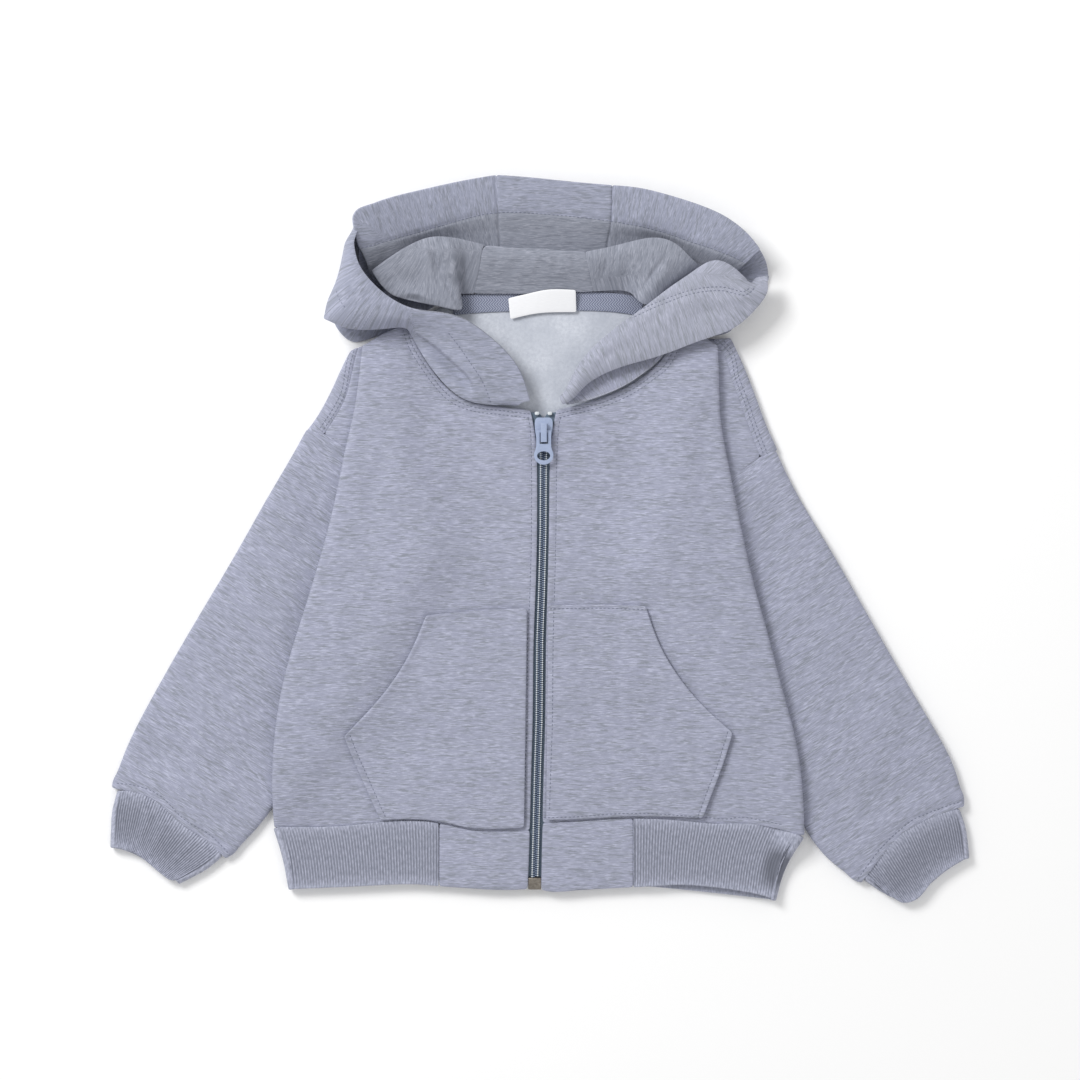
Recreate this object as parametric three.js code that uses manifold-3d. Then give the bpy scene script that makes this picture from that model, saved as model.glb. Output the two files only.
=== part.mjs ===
// A toddler's zip hoodie in heather sweatshirt cloth, laid flat on its back with the sleeves turned down
// beside the body and the hood opened out. Sizes in millimetres, +Z up, +Y towards the hood.
// Every cloth piece is a closed wall: a grid of points on the middle of the cloth, pushed out to both sides.
import * as THREE from "three";
import Module from "manifold-3d";

// Driving sizes of the cloth
const CLOTH = 2; // sweatshirt cloth, brushed inside
const PLY = 1.8; // one of the two plies of the hood
const PLY_GAP = 0.4; // air between the two plies
const RIBBING = 3; // rib knit folded double
const RIB_PITCH = 2.2; // from one rib to the next
const RIB_DEPTH = 0.45; // groove between two ribs
const SEAM_GAP = 0.4; // air between two pieces at a seam
const TAPE_THICKNESS = 1; // neck tape
const LABEL_THICKNESS = 0.8;

// Heights at which the layers lie
const BODY_RISE = 5.5; // from the middle of the back to the middle of a front at the side fold
const SHOULDER_RISE = 2.5; // the same where the shoulder seam joins them
const SLEEVE_RISE = 5; // from the under to the upper side of a sleeve
const SLEEVE_LIFT = 8.5; // how far a sleeve below it raises the body
const BACK_RAMP = 22; // width over which the back comes down beside a sleeve
const FRONT_RAMP = 40; // the same for a front, which spans the step more softly
const FRONT_PUFF = 0.4; // rise of a front between zip and side fold
const SLEEVE_PUFF = 0.9; // rise of a sleeve between its folds
const ZIP_ROOM = 1; // extra rise of a front beside the zip
const FOLD_STEPS = 4; // facets round a folded edge
const FOLD_UNDER = 2; // flat strip of a front below its side fold

// Zip sizes
const ZIP_TAPE_THICKNESS = 1.2;
const ZIP_TAPE_HEIGHT = 5; // middle of the tape above the table
const ZIP_TAPE_HIDDEN = 5; // how far a tape reaches below a front
const COIL_WIDTH = 2.6; // one row of the coil
const COIL_BOTTOM = 5.9;
const COIL_HEIGHT = 2.2;
const SLIDER_TOP_Y = 85.5;
const SLIDER_BOTTOM_Y = 69;
const PULL_THICKNESS = 1.5;
const HINGE_Y = 75.7;
const HINGE_Z = 12;

const HEATHER = 0xa6a9ba;
const HEATHER_SHADE = 0x9a9eae;
const TAPE_GREY = 0x878c9c;
const RIB_GREY = 0x989baa;
const ZIP_GREY = 0x7b8596;
const PULL_BLUE = 0x9da9c2;
const PEWTER = 0x6d665e;
const LABEL_WHITE = 0xf0f0f2;

const finish = (color, roughness = 0.9, metalness = 0) =>
  new THREE.MeshStandardMaterial({ color, roughness, metalness });

const garment = new THREE.Group();
garment.name = "toddler_hoodie";

function addMesh(name, geometry, material) {
  const mesh = new THREE.Mesh(geometry, material);
  mesh.name = name;
  garment.add(mesh);
}

// Curves and grids

const smooth = (t) => THREE.MathUtils.smoothstep(t, 0, 1);
const mix = THREE.MathUtils.lerp;

const spline = (rows) => {
  const corners = rows.map(([x, y, z = 0]) => new THREE.Vector3(x, y, z));
  return new THREE.CatmullRomCurve3(corners, false, "centripetal");
};

const along = (rows, steps) => spline(rows).getSpacedPoints(steps);

// Value of a two-column table [key, value] at a key, keys rising.
function lookUp(table, key) {
  const last = table.length - 1;
  const next = table.findIndex((row) => row[0] > key);
  if (next === 0) return table[0][1];
  if (next < 0) return table[last][1];
  const [fromKey, fromValue] = table[next - 1];
  const [toKey, toValue] = table[next];
  return mix(fromValue, toValue, (key - fromKey) / (toKey - fromKey));
}

// Evenly spaced places on a chain of straight lines.
function alongChain(points, steps) {
  const path = new THREE.CurvePath();
  points.slice(1).forEach((p, k) => path.add(new THREE.LineCurve3(points[k], p)));
  return path.getSpacedPoints(steps);
}

// Grid between four edge curves: low and high run one way, start and end join them.
function patch(low, high, start, end) {
  const across = low.length - 1;
  const up = start.length - 1;
  return start.map((_, j) =>
    low.map((_, i) => {
      const u = i / across;
      const v = j / up;
      const ruledUp = low[i].clone().lerp(high[i], v);
      const ruledAcross = start[j].clone().lerp(end[j], u);
      const lowMix = low[0].clone().lerp(low[across], u);
      const highMix = high[0].clone().lerp(high[across], u);
      return ruledUp.add(ruledAcross).sub(lowMix.lerp(highMix, v));
    }),
  );
}

// Grid through stations: each row of the table holds the x, y and z of the points of one section.
function loft(stations, columns, stepsPerPoint) {
  const count = stations[0].length / 3;
  const rails = Array.from({ length: count }, (_, c) =>
    spline(stations.map((row) => row.slice(3 * c, 3 * c + 3))),
  );
  const rows = (count - 1) * stepsPerPoint;
  return Array.from({ length: columns + 1 }, (_, i) => {
    const section = rails.map((rail) => rail.getPoint(i / columns).toArray());
    return spline(section).getPoints(rows);
  });
}

function gridNormal(grid, j, i, ring) {
  const rows = grid.length;
  const columns = grid[0].length;
  const before = ring ? (i + columns - 1) % columns : Math.max(i - 1, 0);
  const after = ring ? (i + 1) % columns : Math.min(i + 1, columns - 1);
  const across = grid[j][after].clone().sub(grid[j][before]);
  const down = Math.max(j - 1, 0);
  const up = Math.min(j + 1, rows - 1);
  const along = grid[up][i].clone().sub(grid[down][i]);
  return across.cross(along).normalize();
}

const signedVolume = (points, faces) =>
  faces.reduce((sum, [a, b, c]) => sum + points[a].dot(points[b].clone().cross(points[c])), 0) / 6;

// Closed wall on a grid. The wall runs from `inner` to `outer` along the normals; `outer` may be a
// function of the row and column. A ring closes each row on itself.
function wall(grid, inner, outer, ring = false) {
  const rows = grid.length;
  const columns = grid[0].length;
  const outerAt = typeof outer === "function" ? outer : () => outer;
  const points = [];
  for (const side of [outerAt, () => inner]) {
    grid.forEach((row, j) =>
      row.forEach((p, i) => {
        points.push(gridNormal(grid, j, i, ring).multiplyScalar(side(j, i)).add(p));
      }),
    );
  }
  const faces = [];
  const quad = (a, b, c, d) => faces.push([a, b, c], [a, c, d]);
  const out = (j, i) => j * columns + (i % columns);
  const back = (j, i) => rows * columns + out(j, i);
  const lastColumn = ring ? columns : columns - 1;
  for (let i = 0; i < lastColumn; i++) {
    for (let j = 0; j < rows - 1; j++) {
      quad(out(j, i), out(j, i + 1), out(j + 1, i + 1), out(j + 1, i));
      quad(back(j, i), back(j + 1, i), back(j + 1, i + 1), back(j, i + 1));
    }
    quad(out(0, i), back(0, i), back(0, i + 1), out(0, i + 1));
    quad(out(rows - 1, i), out(rows - 1, i + 1), back(rows - 1, i + 1), back(rows - 1, i));
  }
  if (!ring) {
    for (let j = 0; j < rows - 1; j++) {
      quad(out(j, 0), out(j + 1, 0), back(j + 1, 0), back(j, 0));
      quad(out(j, columns - 1), back(j, columns - 1), back(j + 1, columns - 1), out(j + 1, columns - 1));
    }
  }
  if (signedVolume(points, faces) < 0) faces.forEach((face) => face.reverse());
  const geometry = new THREE.BufferGeometry().setFromPoints(points);
  geometry.setIndex(faces.flat());
  geometry.computeVertexNormals();
  return geometry;
}

// Points that carry a row on round a fold: half a circle down from p, away in the direction `out`.
function foldRound(p, out, radius, steps) {
  return Array.from({ length: steps }, (_, k) => {
    const angle = (Math.PI * (k + 1)) / steps;
    const swing = out.clone().multiplyScalar(radius * Math.sin(angle));
    return p.clone().add(swing).setZ(p.z - radius * (1 - Math.cos(angle)));
  });
}

// Direction square to column i of a grid, level, pointing away from column k.
function awayFrom(grid, j, i, k) {
  const down = grid[Math.max(j - 1, 0)][i];
  const up = grid[Math.min(j + 1, grid.length - 1)][i];
  const out = new THREE.Vector3(up.y - down.y, down.x - up.x, 0).normalize();
  const away = grid[j][i].clone().sub(grid[j][k]);
  return out.dot(away) < 0 ? out.negate() : out;
}

// Outline of the body

// y | x of the left side fold | x of the right side fold
const SIDE_FOLDS = [
  [-206, -185.5, 185],
  [-193, -188, 185],
  [-168.5, -187, 183.5],
  [-140.5, -185.5, 179.5],
  [-119.5, -183, 174],
  [-98.5, -179, 167.5],
  [-70.5, -171, 161],
  [-42.5, -162, 152.5],
  [-14.5, -153.5, 145.5],
  [27.5, -142.5, 137],
  [69.5, -134.5, 128.5],
  [87, -129.5, 125.5],
  [111.5, -126, 125.5],
  [136, -125, 126],
];
// y | x of the left front's zip edge | x of the right front's zip edge
const ZIP_EDGES = [
  [-246, -8.5, 1.5],
  [-207, -7, 2],
  [-157, -6, 3.5],
  [-126.5, -5, 4.5],
  [-70.5, -4.5, 5],
  [-35.5, -3, 6],
  [6.5, -2, 7],
  [51.5, -2, 7.5],
  [79.5, -3, 9],
  [91, -6.5, 12],
];
// Below it the sleeve ends, so the body is held up outside this line: y | x
const SLEEVE_LINE_LEFT = [
  [-260, -196],
  [-190, -188.5],
  [-175.5, -178],
  [-100.5, -132.5],
  [-4, -79],
  [48, -97],
  [98, -106],
  [150, -108],
];
const SLEEVE_LINE_RIGHT = [
  [-260, 200],
  [-207, 186.5],
  [-182.5, 177.5],
  [-105.5, 130],
  [-21.5, 81],
  [30, 98],
  [98, 106],
  [150, 108],
];
// Where the sleeve has come out from below the body, the body comes down to the table: start | end
const DROP_LEFT = { from: -186, to: -203 };
const DROP_RIGHT = { from: -203, to: -222 };

const LEFT = {
  side: -1,
  zipColumn: 1,
  sleeveLine: SLEEVE_LINE_LEFT,
  drop: DROP_LEFT,
  // from the zip to the side fold: x | y
  hemSeam: [
    [-7, -203],
    [-27.5, -204],
    [-48, -203.5],
    [-69.5, -198],
    [-97.5, -196.5],
    [-141, -200.5],
    [-186, -201],
  ],
  hemEdge: [
    [-8.5, -244],
    [-27.5, -244.5],
    [-68, -242],
    [-89, -240.5],
    [-139.5, -242.5],
    [-176, -244],
  ],
  hemSide: [
    [-186, -201],
    [-180.5, -217.5],
    [-178, -232],
    [-176, -244],
  ],
  neck: [
    [-6.5, 90.5],
    [-28.5, 93],
    [-42.5, 94.5],
    [-56.5, 99],
    [-67, 107.5],
    [-77.5, 121.5],
    [-86.5, 136],
    [-91.5, 150.5],
  ],
  shoulder: [
    [-91.5, 150.5],
    [-108, 144.5],
    [-121.3, 136],
  ],
  tabEnd: -70,
};
const RIGHT = {
  side: 1,
  zipColumn: 2,
  sleeveLine: SLEEVE_LINE_RIGHT,
  drop: DROP_RIGHT,
  hemSeam: [
    [2.5, -198],
    [28.5, -197],
    [57, -195],
    [86.5, -195.5],
    [129, -199],
    [144, -198],
    [178, -204],
    [185, -206],
  ],
  hemEdge: [
    [1.5, -244.5],
    [8, -246],
    [29, -244.5],
    [78, -242],
    [103, -241],
    [148, -246.5],
    [166, -251.5],
  ],
  hemSide: [
    [185, -206],
    [174, -220],
    [170.5, -234],
    [166, -251.5],
  ],
  neck: [
    [12, 90.5],
    [28.5, 94.5],
    [42, 98],
    [55.5, 103.5],
    [66, 109],
    [76.5, 116.5],
    [87.5, 126.5],
    [98.5, 151.5],
  ],
  shoulder: [
    [98.5, 151.5],
    [112, 144],
    [122.3, 136],
  ],
  tabEnd: 65.5,
};

const sideFoldX = (half, y) =>
  lookUp(SIDE_FOLDS.map((row) => [row[0], row[half.zipColumn]]), y);
const zipEdgeX = (half, y) =>
  lookUp(ZIP_EDGES.map((row) => [row[0], row[half.zipColumn]]), y);

// How far the sleeve below holds the body up at a place.
function lift(x, y, ramp) {
  const half = x < 0 ? LEFT : RIGHT;
  const inward = half.side * (lookUp(half.sleeveLine, y) - x);
  const drop = smooth((y - half.drop.to) / (half.drop.from - half.drop.to));
  return SLEEVE_LIFT * (1 - smooth(inward / ramp)) * drop;
}

// Fronts

const FRONT_COLUMNS = 12;
const NECK_COLUMNS = 9; // of these, the ones that end at the neck seam
const FRONT_ROWS = 14;

// Shares of a front's width or height over which its rise changes
const HEM_EASE = 0.08;
const NECK_EASE = 0.12;
const ZIP_EASE = 0.1;
const SHOULDER_EASE = 0.06;
const SHOULDER_START = 0.625; // share of the width at which the shoulder begins to come down
const SHOULDER_SPREAD = 0.167;

// u runs from the zip to the side fold, v from the hem to the neck.
function frontHeight(x, y, u, v) {
  const puff = FRONT_PUFF * Math.sin(Math.PI * u) * smooth(v / HEM_EASE) * smooth((1 - v) / NECK_EASE);
  const onShoulder = smooth((u - SHOULDER_START) / SHOULDER_SPREAD);
  const nearTop = smooth((v - 1 + SHOULDER_EASE) / SHOULDER_EASE);
  const rise = mix(BODY_RISE, SHOULDER_RISE, onShoulder * nearTop);
  const zipRoom = ZIP_ROOM * (1 - smooth(u / ZIP_EASE));
  return CLOTH / 2 + rise + zipRoom + puff + lift(x, y, FRONT_RAMP);
}

function frontFlat(half) {
  const inset = half.side * (BODY_RISE / 2 + CLOTH / 2);
  const hem = half.hemSeam.slice(0, -1);
  const [lastX, lastY] = half.hemSeam[half.hemSeam.length - 1];
  const low = along([...hem, [lastX - inset, lastY]], FRONT_COLUMNS);
  low.forEach((p) => p.setY(p.y + SEAM_GAP / 2));
  const neck = along(half.neck, NECK_COLUMNS);
  const shoulder = along(half.shoulder, FRONT_COLUMNS - NECK_COLUMNS);
  const high = [...neck, ...shoulder.slice(1)];
  const zipRows = ZIP_EDGES.slice(1, -1).map((row) => [row[half.zipColumn], row[0]]);
  const start = along([low[0].toArray(), ...zipRows.slice(1), high[0].toArray()], FRONT_ROWS);
  const sideRows = SIDE_FOLDS.slice(2, -1).map((row) => [row[half.zipColumn] - inset, row[0]]);
  const end = along(
    [low[FRONT_COLUMNS].toArray(), ...sideRows, high[FRONT_COLUMNS].toArray()],
    FRONT_ROWS,
  );
  const grid = patch(low, high, start, end);
  grid.forEach((row, j) =>
    row.forEach((p, i) => p.setZ(frontHeight(p.x, p.y, i / FRONT_COLUMNS, j / FRONT_ROWS))),
  );
  return grid;
}

// The flat of a front, its round side fold and the strip below it, up to the side seam.
function frontGrid(flat) {
  return flat.map((row, j) => {
    const edge = row[FRONT_COLUMNS];
    const out = awayFrom(flat, j, FRONT_COLUMNS, FRONT_COLUMNS - 1);
    const base = CLOTH / 2 + lift(edge.x, edge.y, BACK_RAMP);
    const fold = foldRound(edge, out, (edge.z - base) / 2, FOLD_STEPS);
    const under = fold[FOLD_STEPS - 1].clone().addScaledVector(out, -FOLD_UNDER);
    return [...row, ...fold, under];
  });
}

const flats = { left: frontFlat(LEFT), right: frontFlat(RIGHT) };
for (const [name, flat] of Object.entries(flats)) {
  addMesh(`front_${name}`, wall(frontGrid(flat), -CLOTH / 2, CLOTH / 2), finish(HEATHER));
}

// Back

// From the left shoulder to the right one: x | y
const BACK_TOP = [
  [-118, 136.5],
  [-106, 141.5],
  [-93.5, 147.5],
  [-83, 157],
  [-71, 163.5],
  [-58.5, 167.5],
  [-45.5, 170],
  [-3, 171],
  [38, 171],
  [52, 170],
  [67.5, 167.5],
  [82, 162.5],
  [97, 152],
  [109, 142],
  [118, 136.5],
];
const BACK_ROWS = 16;
const RAMP_SHARES = [0, 0.33, 0.66, 1];
const BACK_MIDDLE_STEPS = 8;
const SIDE_SEAM_GAP = 1; // the strip below a side fold slants, so this gap is wider than the others
const RAMP_MARGIN = 3; // least distance from the side seam to the top of the ramp
const BACK_LOW_Y = -201;
const BACK_HIGH_Y = 136;

const BACK_HEM = [
  [-186, -201],
  [185, -206],
];

// The back begins where the strip below a front's side fold ends.
const sideSeams = {};
for (const name of ["left", "right"]) {
  const ends = frontGrid(flats[name]).map((row) => row[row.length - 1]);
  sideSeams[name] = ends.map((p) => [p.y, p.x]);
}

function backColumns(y) {
  const [left, right] = Object.entries({ left: LEFT, right: RIGHT }).map(([name, half]) => {
    const edge = lookUp(sideSeams[name], y) - half.side * SIDE_SEAM_GAP;
    const line = lookUp(half.sleeveLine, y);
    const top = half.side * Math.min(half.side * line, half.side * edge - RAMP_MARGIN);
    return [edge, ...RAMP_SHARES.map((share) => top - half.side * share * BACK_RAMP)];
  });
  const start = left[left.length - 1];
  const end = right[right.length - 1];
  const middle = Array.from({ length: BACK_MIDDLE_STEPS - 1 }, (_, k) =>
    mix(start, end, (k + 1) / BACK_MIDDLE_STEPS),
  );
  return [...left, ...middle, ...right.reverse()];
}

function backGrid() {
  const grid = [];
  for (let j = 0; j <= BACK_ROWS; j++) {
    const v = j / BACK_ROWS;
    const row = backColumns(mix(BACK_LOW_Y, BACK_HIGH_Y, v)).map((x) => {
      const y = mix(lookUp(BACK_HEM, x) + SEAM_GAP / 2, lookUp(BACK_TOP, x), v);
      return new THREE.Vector3(x, y, CLOTH / 2 + lift(x, y, BACK_RAMP));
    });
    grid.push(row);
  }
  return grid;
}

addMesh("back", wall(backGrid(), -CLOTH / 2, CLOTH / 2), finish(HEATHER));

const ABOVE_ALL = 100;

// Height of a flat's middle above any place on it, from the grid's own triangles.
function heightOn(grid, x, y) {
  const ray = new THREE.Ray(new THREE.Vector3(x, y, ABOVE_ALL), new THREE.Vector3(0, 0, -1));
  const hit = new THREE.Vector3();
  for (let j = 0; j < grid.length - 1; j++) {
    for (let i = 0; i < grid[j].length - 1; i++) {
      const corners = [grid[j][i], grid[j][i + 1], grid[j + 1][i + 1], grid[j + 1][i]];
      const [a, b, c, d] = corners;
      if (ray.intersectTriangle(a, b, c, false, hit)) return hit.z;
      if (ray.intersectTriangle(a, c, d, false, hit)) return hit.z;
    }
  }
  return NaN;
}

// Pockets

const POCKET_COLUMNS = 7;
const POCKET_ROWS = 8;
const POCKET_CLEARANCE = 0.9; // between the pocket and the front that it lies on
// top from the zip outwards | slanted hand opening downwards | lower side down to the hem seam
const POCKETS = {
  left: {
    top: [
      [-9, -48],
      [-41.5, -49.5],
      [-79, -53],
    ],
    opening: [
      [-79, -53],
      [-85, -70],
      [-97.5, -93],
      [-112, -112.5],
      [-136, -137],
    ],
    side: [
      [-136, -137],
      [-131.5, -149],
      [-121.5, -172],
      [-111, -195.5],
    ],
    hem: [
      [-11, -200.8],
      [-48, -201.3],
      [-70, -196],
      [-97.5, -194.5],
      [-111, -195.5],
    ],
    zip: [
      [-9, -48],
      [-10, -120],
      [-11, -200.8],
    ],
  },
  right: {
    top: [
      [6.5, -46],
      [42.5, -45.5],
      [74, -46.5],
    ],
    opening: [
      [74, -46.5],
      [81, -70],
      [90, -86.5],
      [108, -111],
      [134.5, -134.5],
    ],
    side: [
      [134.5, -134.5],
      [127.5, -158],
      [120.5, -176],
      [114, -194],
    ],
    hem: [
      [5, -195.5],
      [30, -194.8],
      [57, -192.8],
      [86.5, -193],
      [114, -194],
    ],
    zip: [
      [6.5, -46],
      [5.8, -120],
      [5, -195.5],
    ],
  },
};

for (const [name, pocket] of Object.entries(POCKETS)) {
  const outer = [
    ...along(pocket.opening, POCKET_ROWS / 2),
    ...along(pocket.side, POCKET_ROWS / 2).slice(1),
  ];
  const grid = patch(
    along(pocket.top, POCKET_COLUMNS),
    along(pocket.hem, POCKET_COLUMNS),
    along(pocket.zip, POCKET_ROWS),
    outer,
  );
  grid.forEach((row) =>
    row.forEach((p) => p.setZ(heightOn(flats[name], p.x, p.y) + CLOTH + POCKET_CLEARANCE)),
  );
  addMesh(`pocket_${name}`, wall(grid, -CLOTH / 2, CLOTH / 2), finish(HEATHER));
}

// Hem: ribbed band round the sides and back, plain tabs beside the zip

const HEM_ROWS = 2;
const HEM_BACK_STEPS = 10;
const HEM_BACK_ARCH = 10; // the back's lower edge rises between the side folds, hidden by the front
const TAB_COLUMNS = 9;
const HEM_BASE = RIBBING / 2;
const TAB_RAISE = 0.3; // the plain tabs lie a little prouder than the ribbing
const EDGE_STEPS = 60;
const CUT_STEPS = 300;
const FOLD_LOOK_BACK = 8; // columns over which the direction out of the side fold is taken

const hemFrontHeight = (x, y) => HEM_BASE + BODY_RISE + lift(x, y, BACK_RAMP);

// The part of a chain of points that lies beyond an x, seen from the zip, or the part before it.
function cutAt(points, x, beyond) {
  const fine = alongChain(points, CUT_STEPS);
  return fine.filter((p) => Math.abs(p.x) > Math.abs(x) === beyond);
}

// Upper edge of the hem, just below the front's own lower edge.
const hemTop = (name) =>
  flats[name][0].map((p) => new THREE.Vector3(p.x, p.y - SEAM_GAP, 0));

function hemSection(name, half, beyond, from, columns) {
  const inset = half.side * (BODY_RISE / 2 + RIBBING / 2);
  const edge = spline(half.hemEdge).getPoints(EDGE_STEPS);
  if (beyond) edge[EDGE_STEPS].x -= inset;
  const high = alongChain(cutAt(hemTop(name), from, beyond), columns);
  const low = alongChain(cutAt(edge, from, beyond), columns);
  const start = along([high[0].toArray(), low[0].toArray()], HEM_ROWS);
  const sideRows = half.hemSide.slice(1, -1).map(([x, y]) => [x - inset, y]);
  const end = along(
    [high[columns].toArray(), ...(beyond ? sideRows : []), low[columns].toArray()],
    HEM_ROWS,
  );
  const grid = patch(high, low, start, end);
  grid.forEach((row) => row.forEach((p) => p.setZ(hemFrontHeight(p.x, p.y))));
  return grid;
}

function hemBand() {
  const sections = Object.entries({ left: LEFT, right: RIGHT }).map(([name, half]) => {
    const [seamEnd] = half.hemSeam[half.hemSeam.length - 1];
    const ribs = Math.round(Math.abs(seamEnd - half.tabEnd) / RIB_PITCH);
    const columns = 2 * ribs;
    const grid = hemSection(name, half, true, half.tabEnd + half.side * SEAM_GAP, columns);
    return grid.map((row, j) => {
      const edge = row[columns];
      const out = awayFrom(grid, j, columns, columns - FOLD_LOOK_BACK);
      const base = HEM_BASE + lift(edge.x, edge.y, BACK_RAMP);
      return [...row, ...foldRound(edge, out, (edge.z - base) / 2, FOLD_STEPS)];
    });
  });
  const [left, right] = sections;
  const ribbedLeft = left[0].length - FOLD_STEPS;
  const grid = left.map((row, j) => {
    const start = row[row.length - 1];
    const end = right[j][right[j].length - 1];
    const behind = Array.from({ length: HEM_BACK_STEPS - 1 }, (_, k) => {
      const share = (k + 1) / HEM_BACK_STEPS;
      const p = start.clone().lerp(end, share);
      p.y += HEM_BACK_ARCH * Math.sin(Math.PI * share) * (j / HEM_ROWS);
      return p.setZ(HEM_BASE + lift(p.x, p.y, BACK_RAMP));
    });
    return [...row, ...behind, ...right[j].slice().reverse()];
  });
  const ribbedRight = grid[0].length - (right[0].length - FOLD_STEPS);
  const relief = (j, i) => {
    const ribbed = i < ribbedLeft || i >= ribbedRight;
    return RIBBING / 2 - (ribbed && i % 2 ? RIB_DEPTH : 0);
  };
  return { grid, relief };
}

// Turns a grid's rows round, so that its normals point to the other side.
const mirrored = (grid) => grid.map((row) => row.slice().reverse());

const topFacesUp = (grid, row, column) => gridNormal(grid, row, column, false).z > 0;

{
  const { grid, relief } = hemBand();
  const up = topFacesUp(grid, 1, 10);
  const last = grid[0].length - 1;
  const shown = up ? grid : mirrored(grid);
  const shownRelief = up ? relief : (j, i) => relief(j, last - i);
  addMesh("hem_rib", wall(shown, -RIBBING / 2, shownRelief), finish(RIB_GREY));
  for (const [name, half] of Object.entries({ left: LEFT, right: RIGHT })) {
    const tab = hemSection(name, half, false, half.tabEnd, TAB_COLUMNS);
    tab.forEach((row) => row.forEach((p) => p.setZ(p.z + TAB_RAISE)));
    addMesh(`hem_tab_${name}`, wall(tab, -RIBBING / 2, RIBBING / 2), finish(HEATHER));
  }
}

// Sleeves and cuffs

const SLEEVE_COLUMNS = 8;
const SLEEVE_ROWS = 10;
const SLEEVE_FOLD_STEPS = 3;
const SLEEVE_UNDER_STEPS = 3;
const CUFF_ROWS = 1;
const CUFF_RISE = 4.4; // from the under to the upper side of a cuff
const BODY_COVER = 26; // width beside the body over which a sleeve takes up its full rise
const CUFF_GAP = 1.2; // along the length of the garment, so less across the slanting seam

const SLEEVES = {
  left: {
    half: LEFT,
    outer: [
      [-165, 73.5],
      [-173, 58.5],
      [-186, 38],
      [-213, -10.5],
      [-246.5, -66.5],
      [-280.5, -127],
      [-292.5, -151.5],
      [-299.5, -174],
    ],
    inner: [
      [-79, -4],
      [-132.5, -100.5],
      [-178, -175.5],
      [-188.5, -190],
      [-202.5, -209],
      [-212, -219],
      [-219.5, -223],
    ],
    armhole: [
      [-165, 73.5],
      [-150.5, 73],
      [-135.5, 63],
      [-104.5, 41.5],
      [-83.5, 13.5],
      [-79, -4],
    ],
    cuffSeam: [
      [-299.5, -174],
      [-286.5, -175],
      [-275.5, -178],
      [-266, -183.5],
      [-251, -198.5],
      [-233, -209.5],
      [-219.5, -223],
    ],
    cuffEnd: [
      [-301, -214.5],
      [-283, -219],
      [-265, -233],
      [-258.5, -237.5],
      [-250, -238],
    ],
    cuffOuter: [
      [-299.5, -174],
      [-296, -180],
      [-296, -191],
      [-301, -214.5],
    ],
    cuffInner: [
      [-219.5, -223],
      [-235, -226.5],
      [-250, -238],
    ],
  },
  right: {
    half: RIGHT,
    outer: [
      [167, 60],
      [172.5, 46.5],
      [187, 21],
      [204, -6.5],
      [237.5, -65.5],
      [271.5, -123.5],
      [288.5, -152],
      [297, -171],
      [297.5, -186],
    ],
    inner: [
      [81, -21.5],
      [130, -105.5],
      [177.5, -182.5],
      [186.3, -199],
      [187.5, -208],
      [213, -235],
      [225, -240],
    ],
    armhole: [
      [167, 60],
      [155, 55.5],
      [136, 41.5],
      [107.5, 22],
      [87, -4],
      [81, -21.5],
    ],
    cuffSeam: [
      [297.5, -186],
      [285, -190],
      [271, -195.5],
      [260, -201],
      [241.5, -218],
      [225, -240],
    ],
    cuffEnd: [
      [301.5, -221],
      [290, -227.5],
      [276, -237.5],
      [264, -251],
      [254.5, -253.5],
      [243, -247],
    ],
    cuffOuter: [
      [297.5, -186],
      [295, -196.5],
      [297, -206],
      [301.5, -221],
    ],
    cuffInner: [
      [225, -240],
      [235.5, -243],
      [243, -247],
    ],
  },
};

// Pulls the first and last column of a flat grid in, to leave room for the round folds.
function insetSides(grid, inset) {
  const last = grid[0].length - 1;
  return grid.map((row) => {
    const width = row[0].distanceTo(row[last]);
    return row.map((p, i) => {
      const share = mix(inset / width, 1 - inset / width, i / last);
      const place = share * last;
      const at = Math.min(Math.floor(place), last - 1);
      return row[at].clone().lerp(row[at + 1], place - at);
    });
  });
}

// Closed ring of a flattened tube: upper side, fold, under side, fold.
function flatTube(upper, floor, underSteps) {
  const last = upper[0].length - 1;
  return upper.map((row, j) => {
    const outOfEnd = awayFrom(upper, j, last, last - 1);
    const outOfStart = awayFrom(upper, j, 0, 1);
    const endFold = foldRound(row[last], outOfEnd, (row[last].z - floor) / 2, SLEEVE_FOLD_STEPS);
    const startFold = foldRound(row[0], outOfStart, (row[0].z - floor) / 2, SLEEVE_FOLD_STEPS);
    const from = endFold[SLEEVE_FOLD_STEPS - 1];
    const to = startFold[SLEEVE_FOLD_STEPS - 1];
    const under = Array.from({ length: underSteps - 1 }, (_, k) =>
      upper[j][Math.round(last * (1 - (k + 1) / underSteps))].clone().setZ(floor),
    );
    return [...row, ...endFold.slice(0, -1), from, ...under, to, ...startFold.slice(0, -1).reverse()];
  });
}

// u runs from the outer fold to the inner one, v from the armhole to the cuff.
function sleeveHeight(half, p, u, v) {
  const clear = half.side * (p.x - sideFoldX(half, p.y));
  const shown = smooth(clear / BODY_COVER);
  const alongIt = Math.sin(Math.PI * v);
  return CLOTH / 2 + SLEEVE_RISE + SLEEVE_PUFF * Math.sin(Math.PI * u) * shown * alongIt;
}

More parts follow.
